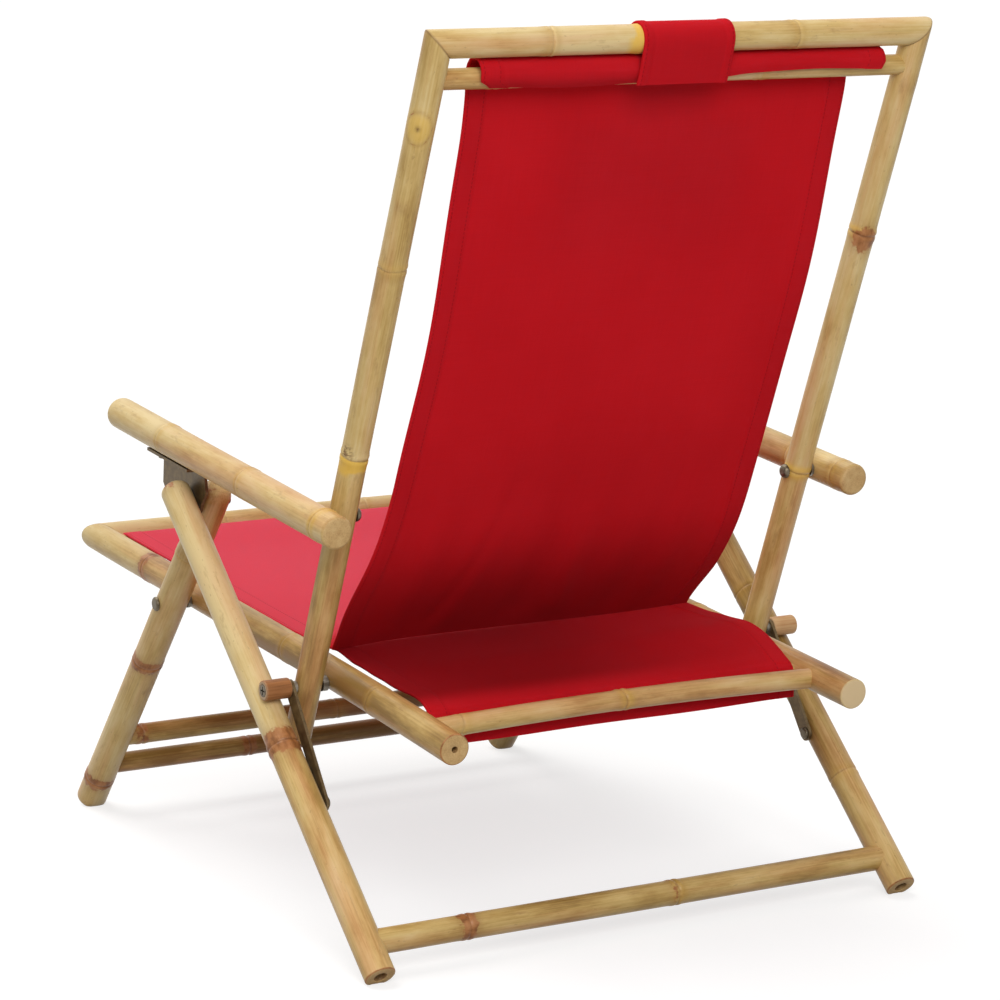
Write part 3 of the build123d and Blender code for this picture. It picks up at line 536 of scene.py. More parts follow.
        # Painted reflection: a long, narrow streak that lowers the cane's tone, standing in for
        # dark surroundings reflected in it.
        elif kind == "weather":
            lengthwise = bell((tt - at_t) / (8.0 * width), 1.0)
            painted_reflection = painted_reflection + amount * lengthwise * bell(turn / width, 1.0)
            continue
        else:
            brown = np.maximum(brown, amount * np.clip(spot * 1.4, 0, 1))
            bump = 0.8 * spot
        points = points + (bump * (~is_cap)[:, None])[:, :, None] * radial
    edges = sorted([0.0] + [r[0] for r in rings] + [length])
    shades = shades or [tone + rng.uniform(-0.5, 0.5) for _ in edges]
    tones = np.array([shades[max(0, np.searchsorted(edges, t) - 1)] for t in ts])
    tones = np.repeat(tones[:, None], SEGMENTS, 1) - painted_reflection
    cap = np.repeat(is_cap[:, None], SEGMENTS, 1).astype(float)
    for i, (t, r) in enumerate(rows):
        if r is None:
            continue
        kind = ends[0 if t < length / 2 else 1]
        if kind in ("round", "dome"):
            cap[i] = 0.0
        elif r > radius - 1.4:
            cap[i] = 0.3
            brown[i] = 0.75 if kind == "cut" else 0.25
        # Painted shade: the inside of a cut end's pith hole is darkened.
        if kind == "cut" and r < hole + 0.2:
            dark[i] = 0.8
        if kind == "mitre":
            dark[i] = 0.6
        if kind == "pale":
            tones[i] = 2.0

    verts = [*points.reshape(-1, 3), line[0].mean(0) + axis * (depth_a - ts[0]), line[-1].mean(0)]
    verts[-1] = verts[-1] + axis * (length - depth_b - ts[-1])
    count = len(rows)
    faces = []
    for i in range(count - 1):
        a, b = i * SEGMENTS, (i + 1) * SEGMENTS
        for j in range(SEGMENTS):
            k = (j + 1) % SEGMENTS
            faces.append((a + j, a + k, b + k, b + j))
    first, last, tail = count * SEGMENTS, count * SEGMENTS + 1, (count - 1) * SEGMENTS
    for j in range(SEGMENTS):
        k = (j + 1) % SEGMENTS
        faces += [(first, k, j), (last, tail + j, tail + k)]
    verts = np.array(verts)
    if floor:
        verts[:, 2] = np.maximum(verts[:, 2], 0.0)
    marks = np.stack([dark, pale, brown, cap], axis=2)
    marks = np.vstack([marks.reshape(-1, 4), marks[0].mean(0), marks[-1].mean(0)])
    grain = np.vstack([grain.reshape(-1, 3), grain[0].mean(0), grain[-1].mean(0)])
    tones = np.concatenate([tones.ravel(), [tones[0, 0], tones[-1, 0]]])
    obj = make_mesh(name, verts, faces, material or BAMBOO, {
        "grain": ("FLOAT_VECTOR", grain),
        "marks": ("FLOAT_COLOR", np.clip(marks, 0, 1)),
        "tone": ("FLOAT", tones),
    })
    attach(obj, body)
    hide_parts(node)


# Ring marks: swelling, dark line, pale band (over 1 is yellow with sharp edges) and brown stain,
# placed by the distance along the cane
def ring(*marks):
    return lambda t: (t, *marks)


plain = ring(0.70, 0.24, 0.20, 0.34)
yellow = ring(0.95, 0.40, 1.15, 0.0)
stained = ring(0.90, 0.50, 0.1, 0.90)
burnt = ring(1.20, 0.70, 0.0, 1.30)
blush = ring(0.65, 0.10, 0.25, 0.42)
knobbly = ring(1.35, 0.25, 0.45, 0.40)


# A scar: distance along the cane, the direction it faces, width, kind, strength
def scar(t, x, y, z, width, kind, amount):
    return (t, np.array([x, y, z]), width, kind, amount)


def build_canes():
    # In each pair the left side comes first. Canes without shades get theirs by chance.
    rail_rings = [stained(143), plain(474), plain(655)], [plain(200), plain(520)]
    back_rings = (
        [yellow(321.5), plain(520)],
        [(257, 0.85, 0.45, 0.8, 0.3), (528, 0.95, 0.55, 0.7, 0.35)],
    )
    front_rings = [plain(101), stained(274), stained(478)], [plain(160), stained(345)]
    rear_rings = [burnt(327)], [plain(212), plain(452)]
    arm_rings = [plain(123), blush(305), knobbly(462)], [plain(190), blush(388), blush(468)]
    # The left rail's two long streaks are painted reflection of dark surroundings.
    rail_scars = (
        [
            scar(600.0, 0.75, 0.5, 0.35, 8.0, "weather", 3.4),
            scar(440.0, 0.8, 0.3, -0.2, 8.0, "weather", 2.0),
        ],
        [],
    )
    back_scars = (
        [
            scar(663.0, 0.6, 0.8, 0.1, 12.5, "eye", 0.55),
            scar(585.0, 0.6, 0.8, 0.1, 6.0, "stain", 0.4),
            scar(328.0, 1.0, 0.45, 0.1, 5.5, "scuff", 0.9),
        ],
        [
            scar(524.0, 0.25, 0.9, 0.1, 15.0, "stain", 0.8),
            scar(690.0, -0.1, 0.95, 0.1, 9.0, "stain", 0.35),
            scar(264.0, -0.9, 0.5, 0.1, 6.0, "stain", 0.8),
        ],
    )
    leg_scars = [scar(4.0, 0.7, 0.5, 0.4, 9.0, "stain", 0.6)], []
    # The first internode of the left rail and the left front leg get lighter tones: partly their
    # own, partly painted light standing in for light where they lie in shade.
    rail_shades = [0.7, -0.45, -0.55, -0.45], None
    back_shades = [-0.5, 0.05, 0.3, 0.0], [0.0, 0.75, 0.65, 0.65]
    front_shades = [0.4, 0.5, 0.3, 0.4], None
    rear_shades = [1.2, 0.2], [-0.35, -0.5, -0.2]
    peg_shades = [0.0, 0.0], [1.2, 1.2]
    rail_tails, rail_bows = ("cut", "pale"), (4.0, 1.0)
    leg_hole, peg_hole = 6.4, 6.1
    rail, back = np.array([0.0, *RAIL_DIR]), np.array([0.0, *BACK_DIR])
    arm_front, arm_rear = ARM_BOLT - ARM_DIR * ARM_FRONT, ARM_BOLT + ARM_DIR * ARM_REAR
    for i, (side, s) in enumerate(SIDES):
        def cane(name, node, body, x, start, end, *rest, **more):
            pole(name + side, node + side, body, at(s * x, start), at(s * x, end), *rest, **more)

        inward = np.array([-s, 0.0, 0.0])
        cane("seat_cane_", "seat_rail_", "seat_frame", RAIL_X, SEAT_CORNER, RAIL_END, RAIL_D,
             rail_rings[i], ("mitre", rail_tails[i]), (rail - inward, None), tone=-0.4,
             seed=10 + i, bow=(rail_bows[i], 1.5), scars=rail_scars[i], shades=rail_shades[i])
        cane("back_cane_", "back_pole_", "back_frame", BACK_X, BACK_FOOT, BACK_CORNER, BACK_D,
             back_rings[i], ("plain", "mitre"), (None, -back - inward), seed=20 + i,
             scars=back_scars[i], crook=0.8, shades=back_shades[i])
        cane("front_leg_cane_", "front_leg_", "front_legs", FRONT_X,
             *leg_ends(FRONT_DIR, FRONT_D, FRONT_TOP), FRONT_D, front_rings[i], ("dome", "cut"),
             tone=-0.1, seed=30 + i, crook=0.8, hole=leg_hole, floor=True, scars=leg_scars[i],
             shades=front_shades[i])
        cane("rear_leg_cane_", "rear_leg_", "rear_legs", REAR_X,
             *leg_ends(REAR_DIR, REAR_D, REAR_TOP), REAR_D, rear_rings[i], ("dome", "cut"),
             seed=40 + i, hole=leg_hole, floor=True, scars=leg_scars[i], shades=rear_shades[i])
        cane("arm_cane_", "armrest_", "arm_" + side, ARM_X, arm_front, arm_rear, ARM_D,
             arm_rings[i], ("round", "soft"), tone=0.35, seed=50 + i)
        pole("peg_" + side, "hinge_peg_" + side, "seat_frame", at(s * PEG_INNER, HINGE),
             at(s * PEG_OUTER, HINGE), PEG_D, (), ("plain", "cut"), seed=60 + i, hole=peg_hole,
             material=PEG, slot="peg_wood", shades=peg_shades[i])
    across = np.array([1.0, 0.0, 0.0])
    bars = [
        ("top_cane", "back_top_bar", "back_frame", BACK_X, BACK_CORNER, BACK_D,
         [plain(113), yellow(211), plain(378)], "mitre", -back, 0.55),
        ("front_cane", "seat_front_bar", "seat_frame", RAIL_X, SEAT_CORNER, RAIL_D,
         [plain(150), plain(330)], "mitre", rail, 0.5),
        ("upper_sling_cane", "sling_bar_upper", "back_frame", BACK_X - BAR_SHORT, SLING_UPPER,
         SLING_UPPER_D, [plain(344), plain(60)], "tenon", None, 0.1),
        ("rear_cane", "seat_rear_bar", "seat_frame", RAIL_X - BAR_SHORT, REAR_BAR,
         REAR_BAR_D, [knobbly(216), plain(36)], "tenon", None, 0.15),
        ("front_sling_cane", "sling_bar_front", "seat_frame", RAIL_X - BAR_SHORT, SLING_FRONT,
         SLING_FRONT_D, [plain(180)], "tenon", None, 0.0),
        ("rear_sling_cane", "sling_bar_rear", "seat_frame", RAIL_X - BAR_SHORT, SLING_REAR,
         SLING_REAR_D, [plain(260)], "tenon", None, 0.0),
        ("front_leg_cane_lower", "front_crossbar_lower", "front_legs", FRONT_X - CROSS_SHORT,
         FRONT_LOW, FRONT_CROSS_D, [stained(169), plain(380)], "tenon", None, -0.9),
        ("front_leg_cane_upper", "front_crossbar_upper", "front_legs", FRONT_X - CROSS_SHORT,
         FRONT_HIGH, FRONT_CROSS_D, [stained(24), plain(262)], "tenon", None, -0.8),
        ("rear_leg_cane_cross", "rear_crossbar", "rear_legs", REAR_X - CROSS_SHORT, LEG_BAR,
         REAR_CROSS_D, [(102, 1.10, 0.60, 0.0, 0.95), (334, 1.15, 0.45, 0.35, 0.60)],
         "tenon", None, -0.3),
    ]
    for i, (name, node, body, half, point, dia, rings, end, along, tone) in enumerate(bars):
        planes = (None, None)
        if along is not None:
            planes = (-across - along, across - along)
        pole(name, node, body, at(half, point), at(-half, point), dia, rings, (end, end), planes,
             tone=tone, seed=80 + i, crook=0.9 if end == "tenon" else 0.0,
             bow=(4.0 if name == "rear_cane" else 0.0, 1.0))


# A cloth strip: a line in the side view, given a width, a thickness, hems and a little waviness
def resample(points, step):
    points = np.asarray(points, float)
    gaps = np.linalg.norm(np.diff(points, axis=0), axis=1)
    run = np.concatenate([[0.0], np.cumsum(gaps)])
    count = max(2, int(round(run[-1] / step)) + 1)
    want = np.linspace(0, run[-1], count)
    return np.stack([np.interp(want, run, points[:, i]) for i in range(2)], axis=1), want


def arc(centre, radius, start, end, count=24):
    a = np.radians(np.linspace(start, end, count))
    return np.stack([centre[0] + radius * np.cos(a), centre[1] + radius * np.sin(a)], axis=1)


def smooth(points, rounds=2):
    points = np.asarray(points, float).copy()
    for _ in range(rounds):
        points[1:-1] = 0.5 * points[1:-1] + 0.25 * (points[:-2] + points[2:])
    return points


def cloth_strip(name, line, half_left, half_right, thickness, material, lift=None, slide=None,
                sink=None, painted_light=None, hem=21.0, step=5.0, columns=84):
    """line runs along the cloth, the halves give its two edges; lift, slide and sink move it off
    its face, along itself and straight down; the function after sink gives painted light, a
    painted sheen above 0 and painted shade below. Gives the piece, its length in metres and its
    area in square metres."""
    line, run = resample(line, step)
    tangent = np.gradient(line, axis=0)
    tangent /= np.linalg.norm(tangent, axis=1)[:, None]
    normal = np.stack([-tangent[:, 1], tangent[:, 0]], axis=1)
    share = run / run[-1]
    edge_in = np.array([0.0, 0.7, 1.8, 3.4, hem - 3.2, hem - 1.2, hem, hem + 1.2, hem + 3.0])
    left, right = half_left(share), half_right(share)
    middle = np.linspace(0, 1, columns)
    rows = []
    for i in range(len(line)):
        inner = left[i] - hem - 8.0 - (left[i] + right[i] - 2 * hem - 16.0) * middle
        rows.append(np.concatenate([left[i] - edge_in, inner, (-right[i] + edge_in)[::-1]]))
    xs = np.array(rows)
    edges = np.minimum(left[:, None] - xs, xs + right[:, None])
    acrosses = left[:, None] - xs
    vs = np.repeat(run[:, None], xs.shape[1], 1)
    if slide is not None:
        vs = np.clip(vs + slide(xs, vs, run[-1]), 0, run[-1])
    shares = vs / run[-1]
    rise = np.zeros_like(xs) if lift is None else lift(xs, vs, shares)
    fold = 1.0 / (1.0 + np.exp(np.clip((edges - hem) * 2.2, -40, 40)))
    thick = thickness * (0.5 + 0.36 * fold) * np.clip(0.35 + edges / 1.4, 0.35, 1.0)

    def carried(pairs):
        return [np.interp(vs, run, pairs[:, i]) for i in range(2)]

    base = np.stack([xs, *carried(line)], axis=2)
    away = np.stack([np.zeros_like(xs), *carried(normal)], axis=2)
    if sink is not None:
        base[:, :, 2] -= sink(xs, vs, shares)
    upper = base + away * (rise + thick)[:, :, None]
    lower = base + away * (rise - thick)[:, :, None]
    quads, rim = grid(*xs.shape)
    n = xs.size
    faces = []
    for a, b, c, d in quads:
        faces += [(a, b, c, d), (d + n, c + n, b + n, a + n)]
    faces += [(b, a, a + n, b + n) for a, b in rim]
    cloth = np.stack([acrosses * MM, vs * MM, edges * MM], axis=2).reshape(-1, 3)
    verts = np.vstack([upper.reshape(-1, 3), lower.reshape(-1, 3)])
    # Painted light per point: painted sheen above 0, painted shade below 0
    rubbed_and_painted_light = np.zeros_like(xs) if painted_light is None else painted_light(xs, vs, shares)
    obj = make_mesh(name, verts, faces, material, {
        "cloth": ("FLOAT_VECTOR", np.vstack([cloth, cloth])),
        "painted_light": ("FLOAT", np.concatenate([rubbed_and_painted_light.ravel(), rubbed_and_painted_light.ravel()])),
    }, 70.0)
    widths = (left + right)[:, None] * np.ones_like(vs)
    area = float(np.sum(0.5 * (widths[1:] + widths[:-1]) * np.diff(vs, axis=0)) / vs.shape[1])
    return obj, run[-1] * MM, area * MM * MM


def steady(value):
    return lambda share: np.full_like(share, value)


def leaving(centre, radius, point, turn):
    """The angle on a bar, in degrees, where cloth drawn tight to a point leaves it."""
    away = point - centre
    angle = math.atan2(away[1], away[0]) + turn * math.acos(radius / np.linalg.norm(away))
    return math.degrees(angle) % 360


BACK_FRONT = unit(FOLD - SLING_UPPER)
BACK_REARWARD = np.array([-BACK_FRONT[1], BACK_FRONT[0]])
BACK_START = SLING_UPPER - BACK_REARWARD * (SLING_UPPER_D / 2 + CLOTH_OFF)
BACK_BELLY = 28.0


def back_point(share):
    """A point on the back panel's line, from the upper bar at 0 to the fold at 1."""
    belly = BACK_REARWARD * BACK_BELLY * math.sin(math.pi * share**1.25)
    return BACK_START + (FOLD - BACK_START) * share + belly


def fold_droop(x):
    return bell(np.maximum(0.0, FOLD_HALF - np.abs(x)), FOLD_FADE)


def build_seat():
    rear_r, front_r = SLING_REAR_D / 2 + CLOTH_OFF, SLING_FRONT_D / 2 + CLOTH_OFF
    crown = (SLING_REAR + np.array([0, rear_r]) + FOLD) / 2 + np.array([0, 5.0])
    tail = SLING_REAR + np.array([rear_r, -24.0])
    nose = SLING_FRONT + np.array([-front_r, -22.0])
    line = np.vstack([
        [tail],
        arc(SLING_REAR, rear_r, 0, leaving(SLING_REAR, rear_r, crown, -1)),
        [crown, FOLD],
        arc(SLING_FRONT, front_r, leaving(SLING_FRONT, front_r, FOLD, 1), 180),
        [nose],
    ])
    line = smooth(resample(line, 4.0)[0], 4)

    def lift(x, v, share):
        front_span = step_up(share, 0.26, 0.42) * (1 - step_up(share, 0.80, 0.93))
        rear_span = step_up(share, 0.09, 0.16) * (1 - step_up(share, 0.28, 0.38))
        ripple = 0.5 * np.sin(x * 0.045 + 1.2 * np.sin(v * 0.011)) * front_span
        hem = bell(np.abs(x) - SEAT_HALF, 12.0)
        pucker = 0.3 * np.sin(v * 0.14 + 0.6) * hem * (rear_span + 0.5 * front_span)
        tail_wave = 1.6 * np.sin(x * 0.028 + 0.9) * (1 - step_up(share, 0.0, 0.05))
        return ripple + pucker + tail_wave

    def sink(x, v, share):
        front_span = step_up(share, 0.30, 0.45) * (1 - step_up(share, 0.80, 0.93))
        places = (0.05, 0.10, 0.17, 0.24, 0.287, 0.36, 0.50, 0.93, 0.96)
        left = np.interp(share, places, (0.0, 1.0, 5.0, 5.5, FOLD_DROP, 8.0, 7.0, 1.5, 0.0))
        right = np.interp(share, places, (0.0, 0.0, 0.0, -1.0, -FOLD_RISE, 8.0, 7.0, 1.5, 0.0))
        edge = fold_droop(x) * np.where(x < 0, right, left)
        bulge = 8.2 * bell(share - 0.138, 0.072) * step_up(-x, 40.0, 190.0)
        return 6.0 * front_span * (1 - (x / 215.0) ** 2) + edge - bulge

    # Painted light on the seat: a painted sheen over the front span before the crease, and painted
    # shade over the rear span under the back panel, deepest on the sitter's left.
    def painted_light(x, v, share):
        shaded = step_up(share, 0.05, 0.10) * (1 - step_up(share, 0.285, 0.31))
        shaded = shaded * (0.15 + 0.85 * step_up(x, -190.0, 50.0))
        return 0.68 * step_up(share, 0.31, 0.42) - 0.58 * shaded

    def half_left(share):
        return SEAT_HALF - 7.0 * bell(share - 0.085, 0.035)

    def half_right(share):
        over_rail = 7.5 * bell(share - 0.135, 0.065) * step_up(share, 0.045, 0.075)
        return SEAT_HALF + over_rail - 7.5 * bell(share - 0.295, 0.05)

    seat, length, area = cloth_strip("seat_canvas", line, half_left, half_right, CANVAS_T, CANVAS,
                                     lift, sink=sink, painted_light=painted_light)
    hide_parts("seat_sling")
    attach(seat, "seat_frame")


def build_back():
    wrap_centre = SLING_UPPER + BACK_DIR * 4.8
    radius = 15.0
    start = math.degrees(math.atan2(-BACK_REARWARD[1], -BACK_REARWARD[0])) % 360
    end = -77.0
    panel = [back_point(s) for s in np.linspace(0.9965, 0.035, 120)]
    line = np.vstack([panel, arc(wrap_centre, radius, start, end, 40)])
    line = smooth(resample(line, 4.0)[0], 3)
    total = resample(line, 4.0)[1][-1]
    wrap_share = 1 - (math.radians(start - end) * radius) / total

    def down(share):
        return 1 - np.clip(share / wrap_share, 0, 1)

    def joined(share, panel_half, flap_half):
        over = step_up(share, wrap_share - 0.01, wrap_share + 0.045)
        return panel_half * (1 - over) + flap_half * over

    def half_left(share):
        s = down(share)
        panel_half = (PANEL_HALF + 9.0 * np.exp(-s / 0.12) - 3.0 * s
                      + 12.5 * step_up(s, 0.66, 0.90) - 3.0 * step_up(s, 0.92, 1.0))
        return joined(share, panel_half, 217.0 - 13.0 * step_up(share, 0.982, 1.0))

    def half_right(share):
        s = down(share)
        panel_half = (PANEL_HALF - 9.0 * np.exp(-s / 0.12) + 3.0 * s
                      + 2.0 * step_up(s, 0.66, 0.90) - 12.5 * step_up(s, 0.90, 1.0))
        return joined(share, panel_half, 223.0 - 3.0 * step_up(share, 0.985, 1.0))

    def slide(x, v, length):
        short = 13.0 * (1 - step_up(x, -75.0, 20.0)) + 1.2 * np.sin(x * 0.035 + 0.4)
        return -short * step_up(v, length - 34.0, length)

    def lift(x, v, share):
        s = down(share)
        panel_part = step_up(s, 0.02, 0.12)
        low = step_up(s, 0.58, 0.85) * (1 - step_up(s, 0.95, 1.0))
        broad = 2.0 * np.sin(x * 0.05 + 0.5) * bell(x - 40, 120)
        folds = low * (broad + 0.9 * np.sin(x * 0.11 + v * 0.01))
        ridge, dent = x - 95 + 0.25 * (v - 90), x + 20 - 0.2 * (v - 90)
        crease = low * 2.2 * (bell(ridge, 9.0) - bell(dent, 11.0))
        side = bell(np.abs(x) - 208.0, 20.0) * panel_part
        edge = side * (1.3 * np.sin(v * 0.026 + 0.4 + 0.8 * np.sign(x)) - 1.2)
        soft = 0.8 * panel_part * np.sin(x * 0.017 + v * 0.009) * np.sin(v * 0.013 + 0.7)
        lip = 2.2 * step_up(share, 0.97, 1.0) * (0.6 + 0.4 * np.sin(x * 0.04))
        return folds + crease + edge + soft - lip - 8.0 * bell(s - 0.82, 0.11)

    # Painted shade: the panel darkens towards the crease at its foot, less towards its sides.
    def painted_light(x, v, share):
        s = down(share)
        dim = 0.10 * step_up(s, 0.55, 0.72) + 0.50 * step_up(s, 0.74, 0.99)
        return -dim * (1 - 0.25 * (x / 210.0) ** 2)

    def sink(x, v, share):
        drop = np.where(x < 0, -FOLD_RISE, FOLD_DROP) * fold_droop(x)
        return drop * step_up(down(share), 0.86, 1.0)

    back, length, area = cloth_strip("back_canvas", line, half_left, half_right, CANVAS_T, CANVAS,
                                     lift, slide, sink, painted_light)
    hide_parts("lumbar_sling", "back_sling")
    low, high = back_point(0.97), back_point(0.55)
    tuple(at(0, low) * MM)
    tuple(at(0, high) * MM)
    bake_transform(back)


INFLATE_FRAMES = 20


def inflate(obj, limit):
    """Blow a closed cloth form up with pressure, no point moving more than limit (m)."""
    scene = bpy.context.scene
    before = np.array([v.co for v in obj.data.vertices])
    mod = obj.modifiers.new("cloth", "CLOTH")
    mod.settings.quality = 5
    mod.settings.mass = 0.25
    mod.settings.use_pressure = True
    mod.settings.uniform_pressure_force = 4.0
    mod.settings.effector_weights.gravity = 0.0
    mod.point_cache.frame_start, mod.point_cache.frame_end = 1, INFLATE_FRAMES
    for number in range(1, INFLATE_FRAMES + 1):
        scene.frame_set(number)
    result = obj.evaluated_get(bpy.context.evaluated_depsgraph_get()).to_mesh()
    after = np.array([v.co for v in result.vertices])
    obj.modifiers.remove(mod)
    scene.frame_set(1)
    move = after - before
    far = np.linalg.norm(move, axis=1)
    move *= (np.minimum(far, limit) / np.maximum(far, 1e-9))[:, None]
    return before + move


def outline_share(x, high):
    """How far each point lies towards the pillow's outline, sideways and up or down, 0 to 1."""
    near = 8.0
    xs, hs = np.linspace(x.min(), x.max(), 30), np.linspace(high.min(), high.max(), 19)
    top = [high[np.abs(x - b) < near].max() for b in xs]
    bottom = [-high[np.abs(x - b) < near].min() for b in xs]
    side = [np.abs(x[np.abs(high - b) < near]).max() for b in hs]
    rim = np.where(high > 0, np.interp(x, xs, top), np.interp(x, xs, bottom))
    return np.abs(x) / np.interp(high, hs, side), np.abs(high) / rim


# The pillow's size, where its top and foot lie along the back panel, and its middle off the panel
PILLOW_HALF_WIDE, PILLOW_HALF_HIGH, PILLOW_EDGE, PILLOW_CROWN = 112.0, 70.0, 4.0, 17.0
PILLOW_MOST_WIDE, PILLOW_MOST_HIGH, PILLOW_BACK = 117.4, 74.9, 28.0
PILLOW_TOP, PILLOW_FOOT, PILLOW_OFF = 22.0 / 633.0, 172.0 / 633.0, 31.0
PILLOW_VOXEL, PILLOW_SWELL = 0.005, 0.010


def build_headrest():
    top, bottom = back_point(PILLOW_TOP), back_point(PILLOW_FOOT)
    upward = unit(top - bottom)
    forward = np.array([-upward[1], upward[0]])
    centre = (top + bottom) / 2 + forward * PILLOW_OFF
    radius = BACK_D / 2 + 0.4 + 1.2
    over = arc(BACK_CORNER, radius, -16, 180, 30)
    tail = SLING_UPPER + np.array([BACK_DIR[1], -BACK_DIR[0]]) * 17.0 + BACK_DIR * 3.0
    line = np.vstack([
        [tail - BACK_DIR * 6.5, tail + BACK_DIR * 3.0],
        over,
        [centre + upward * 72.0, centre + upward * 48.0],
    ])
    line = smooth(resample(line, 3.0)[0], 3)
    strap, length, _ = cloth_strip("headrest_band", line, steady(BAND_LEFT), steady(BAND_RIGHT),
                                   BAND_T, STRAP_CLOTH, hem=9.0, step=3.0, columns=30)
    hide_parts("headrest_strap")
    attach(strap, "back_frame")

    # The pillow: two crowned faces, drawn in along the sides, blown up by cloth pressure
    nu, nv = 60, 40
    verts = []
    for sign in (1.0, -1.0):
        for b in np.linspace(-1, 1, nv):
            for a in np.linspace(-1, 1, nu):
                crown = max(0.0, (1 - abs(a) ** 5) * (1 - abs(b) ** 4)) ** 0.6
                wide = PILLOW_HALF_WIDE - 4.0 * (1 - b * b)
                high = PILLOW_HALF_HIGH - 5.5 * (1 - a * a)
                deep = sign * (PILLOW_EDGE + PILLOW_CROWN * crown)
                p = centre + upward * (b * high) + forward * deep
                verts.append((a * wide, p[0], p[1]))
    quads, rim = grid(nv, nu)
    n = nu * nv
    faces = []
    for a, b, c, d in quads:
        faces += [(a, d, c, b), (b + n, c + n, d + n, a + n)]
    faces += [(a, b, b + n, a + n) for a, b in rim]
    rough = make_mesh("headrest_form", verts, faces, PILLOW_CLOTH, {})
    remesh = rough.modifiers.new("remesh", "REMESH")
    remesh.mode = "VOXEL"
    remesh.voxel_size = PILLOW_VOXEL
    solid = rough.evaluated_get(bpy.context.evaluated_depsgraph_get())
    mesh = bpy.data.meshes.new_from_object(solid)
    rough.modifiers.clear()
    rough.data = mesh
    points = inflate(rough, PILLOW_SWELL)
    points = points / MM
    faces = [tuple(p.vertices) for p in mesh.polygons]
    bpy.data.objects.remove(rough)
    rel = points[:, 1:] - centre
    high, deep = rel @ upward, rel @ forward
    # A piped seam round the middle, and a flat back where the pillow lies on the canvas
    deep = np.maximum(deep, -PILLOW_BACK)
    sideways, upright = outline_share(points[:, 0], high)
    near_rim = np.clip((np.maximum(sideways, upright) - 0.86) / 0.12, 0, 1)
    deep = deep * (1 - 0.45 * near_rim * bell(deep, 14.0))
    seam = near_rim * bell(deep, 2.2)
    points[:, 0] += 2.0 * seam * np.sign(points[:, 0]) * (sideways > upright)
    high = high + 2.0 * seam * np.sign(high) * (sideways <= upright)
    points[:, 0] = np.clip(points[:, 0], -PILLOW_MOST_WIDE, PILLOW_MOST_WIDE)
    high = np.clip(high, -PILLOW_MOST_HIGH, PILLOW_MOST_HIGH)
    points[:, 1:] = centre + high[:, None] * upward + deep[:, None] * forward
    cloth = np.stack([points[:, 0], high, 30.0 + np.abs(deep)], axis=1) * MM
    pillow = make_mesh("headrest_cushion", points, faces, PILLOW_CLOTH,
                       {"cloth": ("FLOAT_VECTOR", cloth)}, 180.0)
    soft = pillow.modifiers.new("smooth", "SUBSURF")
    soft.levels = soft.render_levels = 1
    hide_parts("headrest_pillow")
    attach(pillow, "back_frame")


# Metal parts keep the solids' meshes. The first row with a word in the node's name gives the metal.
HARDWARE = (
    (("screws", "bolt", "rivet"), STEEL),
    (("bracket", "strap_left", "strap_right"), BRONZE),
    (("washer", "spacer"), WASHER),
)


def dress_hardware():
    for node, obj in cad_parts.items():
        for words, material in HARDWARE:
            if any(word in node for word in words):
                obj.data.materials.clear()
                obj.data.materials.append(material)
                break


# Studio: a floor and a world that are white where they are seen, and soft lamps
FLOOR_HALF, FLOOR_GLOW, WORLD_LIGHT = 30.0, 0.70, 0.30


def seen_directly(tree):
    """1 for a ray from the camera, a mirror or glass, and 0 for the others."""
    path = tree.nodes.new("ShaderNodeLightPath")
    seen = path.outputs["Is Camera Ray"]
    for ray in ("Is Glossy Ray", "Is Transmission Ray"):
        either = tree.nodes.new("ShaderNodeMath")
        either.operation = "MAXIMUM"
        tree.links.new(seen, either.inputs[0])
        tree.links.new(path.outputs[ray], either.inputs[1])
        seen = either.outputs[0]
    return seen


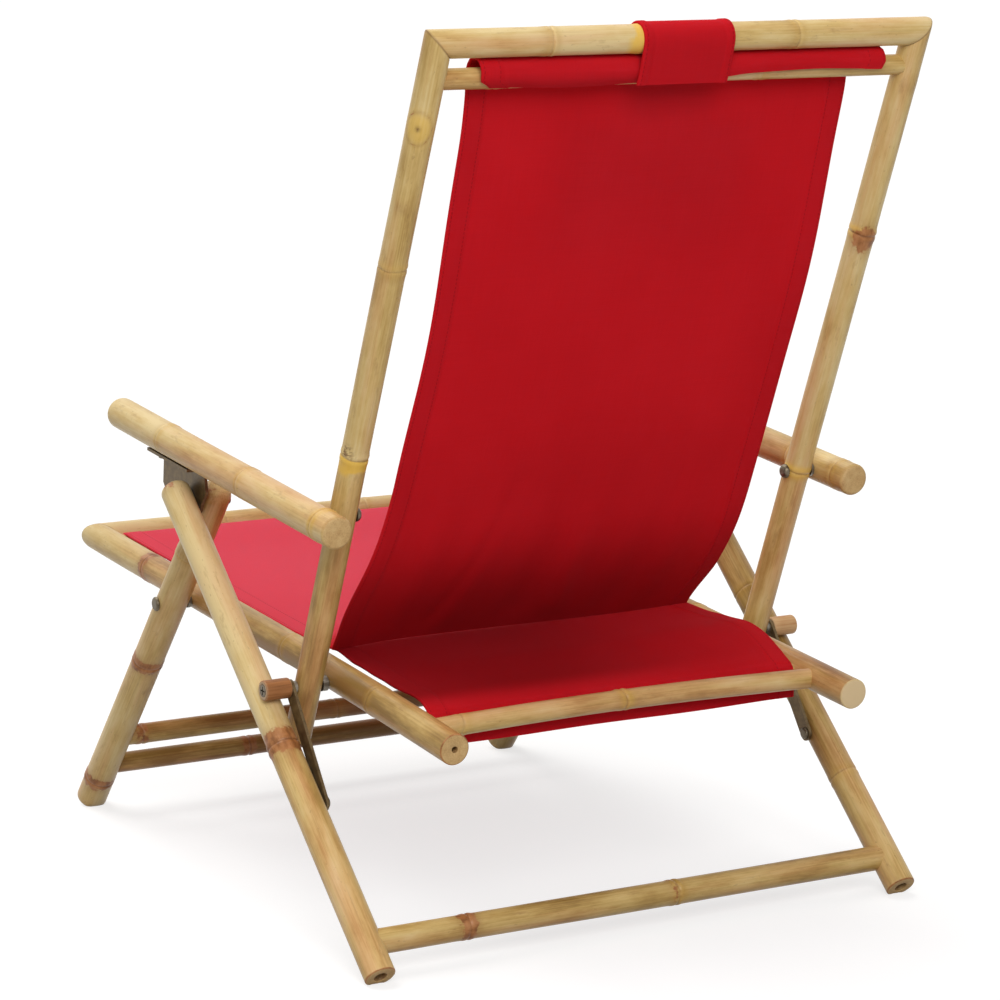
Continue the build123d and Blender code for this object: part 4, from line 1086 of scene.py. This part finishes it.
def build_studio():
    mesh = bpy.data.meshes.new("floor")
    corners = [(x * FLOOR_HALF, y * FLOOR_HALF, 0) for x, y in ((-1, -1), (1, -1), (1, 1), (-1, 1))]
    mesh.from_pydata(corners, [], [(0, 1, 2, 3)])
    floor = add_object("floor", mesh)
    n = Nodes("floor")
    place = n.add("ShaderNodeTexCoord").outputs["Object"]
    grey = n.ramp(n.noise(place, (3, 3, 3)), [(0.3, (0.39, 0.39, 0.39)), (0.7, (0.41, 0.41, 0.41))])
    n.set(Base_Color=grey, Roughness=0.9, Specular_IOR_Level=0.0)
    glow = n.add("ShaderNodeEmission")
    n.link(n.times(seen_directly(n.tree), FLOOR_GLOW), glow.inputs["Strength"])
    both = n.add("ShaderNodeAddShader")
    n.link(n.shader.outputs[0], both.inputs[0])
    n.link(glow.outputs[0], both.inputs[1])
    n.link(both.outputs[0], n.tree.nodes["Material Output"].inputs["Surface"])
    mesh.materials.append(n.mat)

    world = bpy.data.worlds.new("world")
    bpy.context.scene.world = world
    world.use_nodes = True
    tree = world.node_tree
    back = tree.nodes["Background"]
    strength = tree.nodes.new("ShaderNodeMapRange")
    tree.links.new(seen_directly(tree), strength.inputs[0])
    strength.inputs[3].default_value = WORLD_LIGHT
    strength.inputs[4].default_value = 1.0
    back.inputs["Color"].default_value = (1, 1, 1, 1)
    tree.links.new(strength.outputs[0], back.inputs["Strength"])

    def lamp(name, kind, place, target, power, size, color=(1, 1, 1)):
        data = bpy.data.lights.new(name, kind)
        if kind == "AREA":
            data.shape = "RECTANGLE"
            data.size, data.size_y = size
        else:
            data.angle = math.radians(size)
        data.energy = power
        data.color = color
        obj = add_object(name, data)
        obj.location = place
        aim = Vector(target) - Vector(place)
        obj.rotation_euler = aim.to_track_quat("-Z", "Y").to_euler()

    lamp("sky", "SUN", (0.5, -1.3, 3.0), (0.0, 0.0, 0.0), 1.9, 50.0, (1.0, 0.985, 0.96))
    lamp("fill", "AREA", (1.5, 3.4, 2.5), (0.0, 0.1, 0.45), 92.0, (2.4, 1.8))


bpy.context.scene.view_settings.view_transform = "Standard"
make_camera()
build_studio()
build_canes()
build_seat()
build_back()
build_headrest()
dress_hardware()
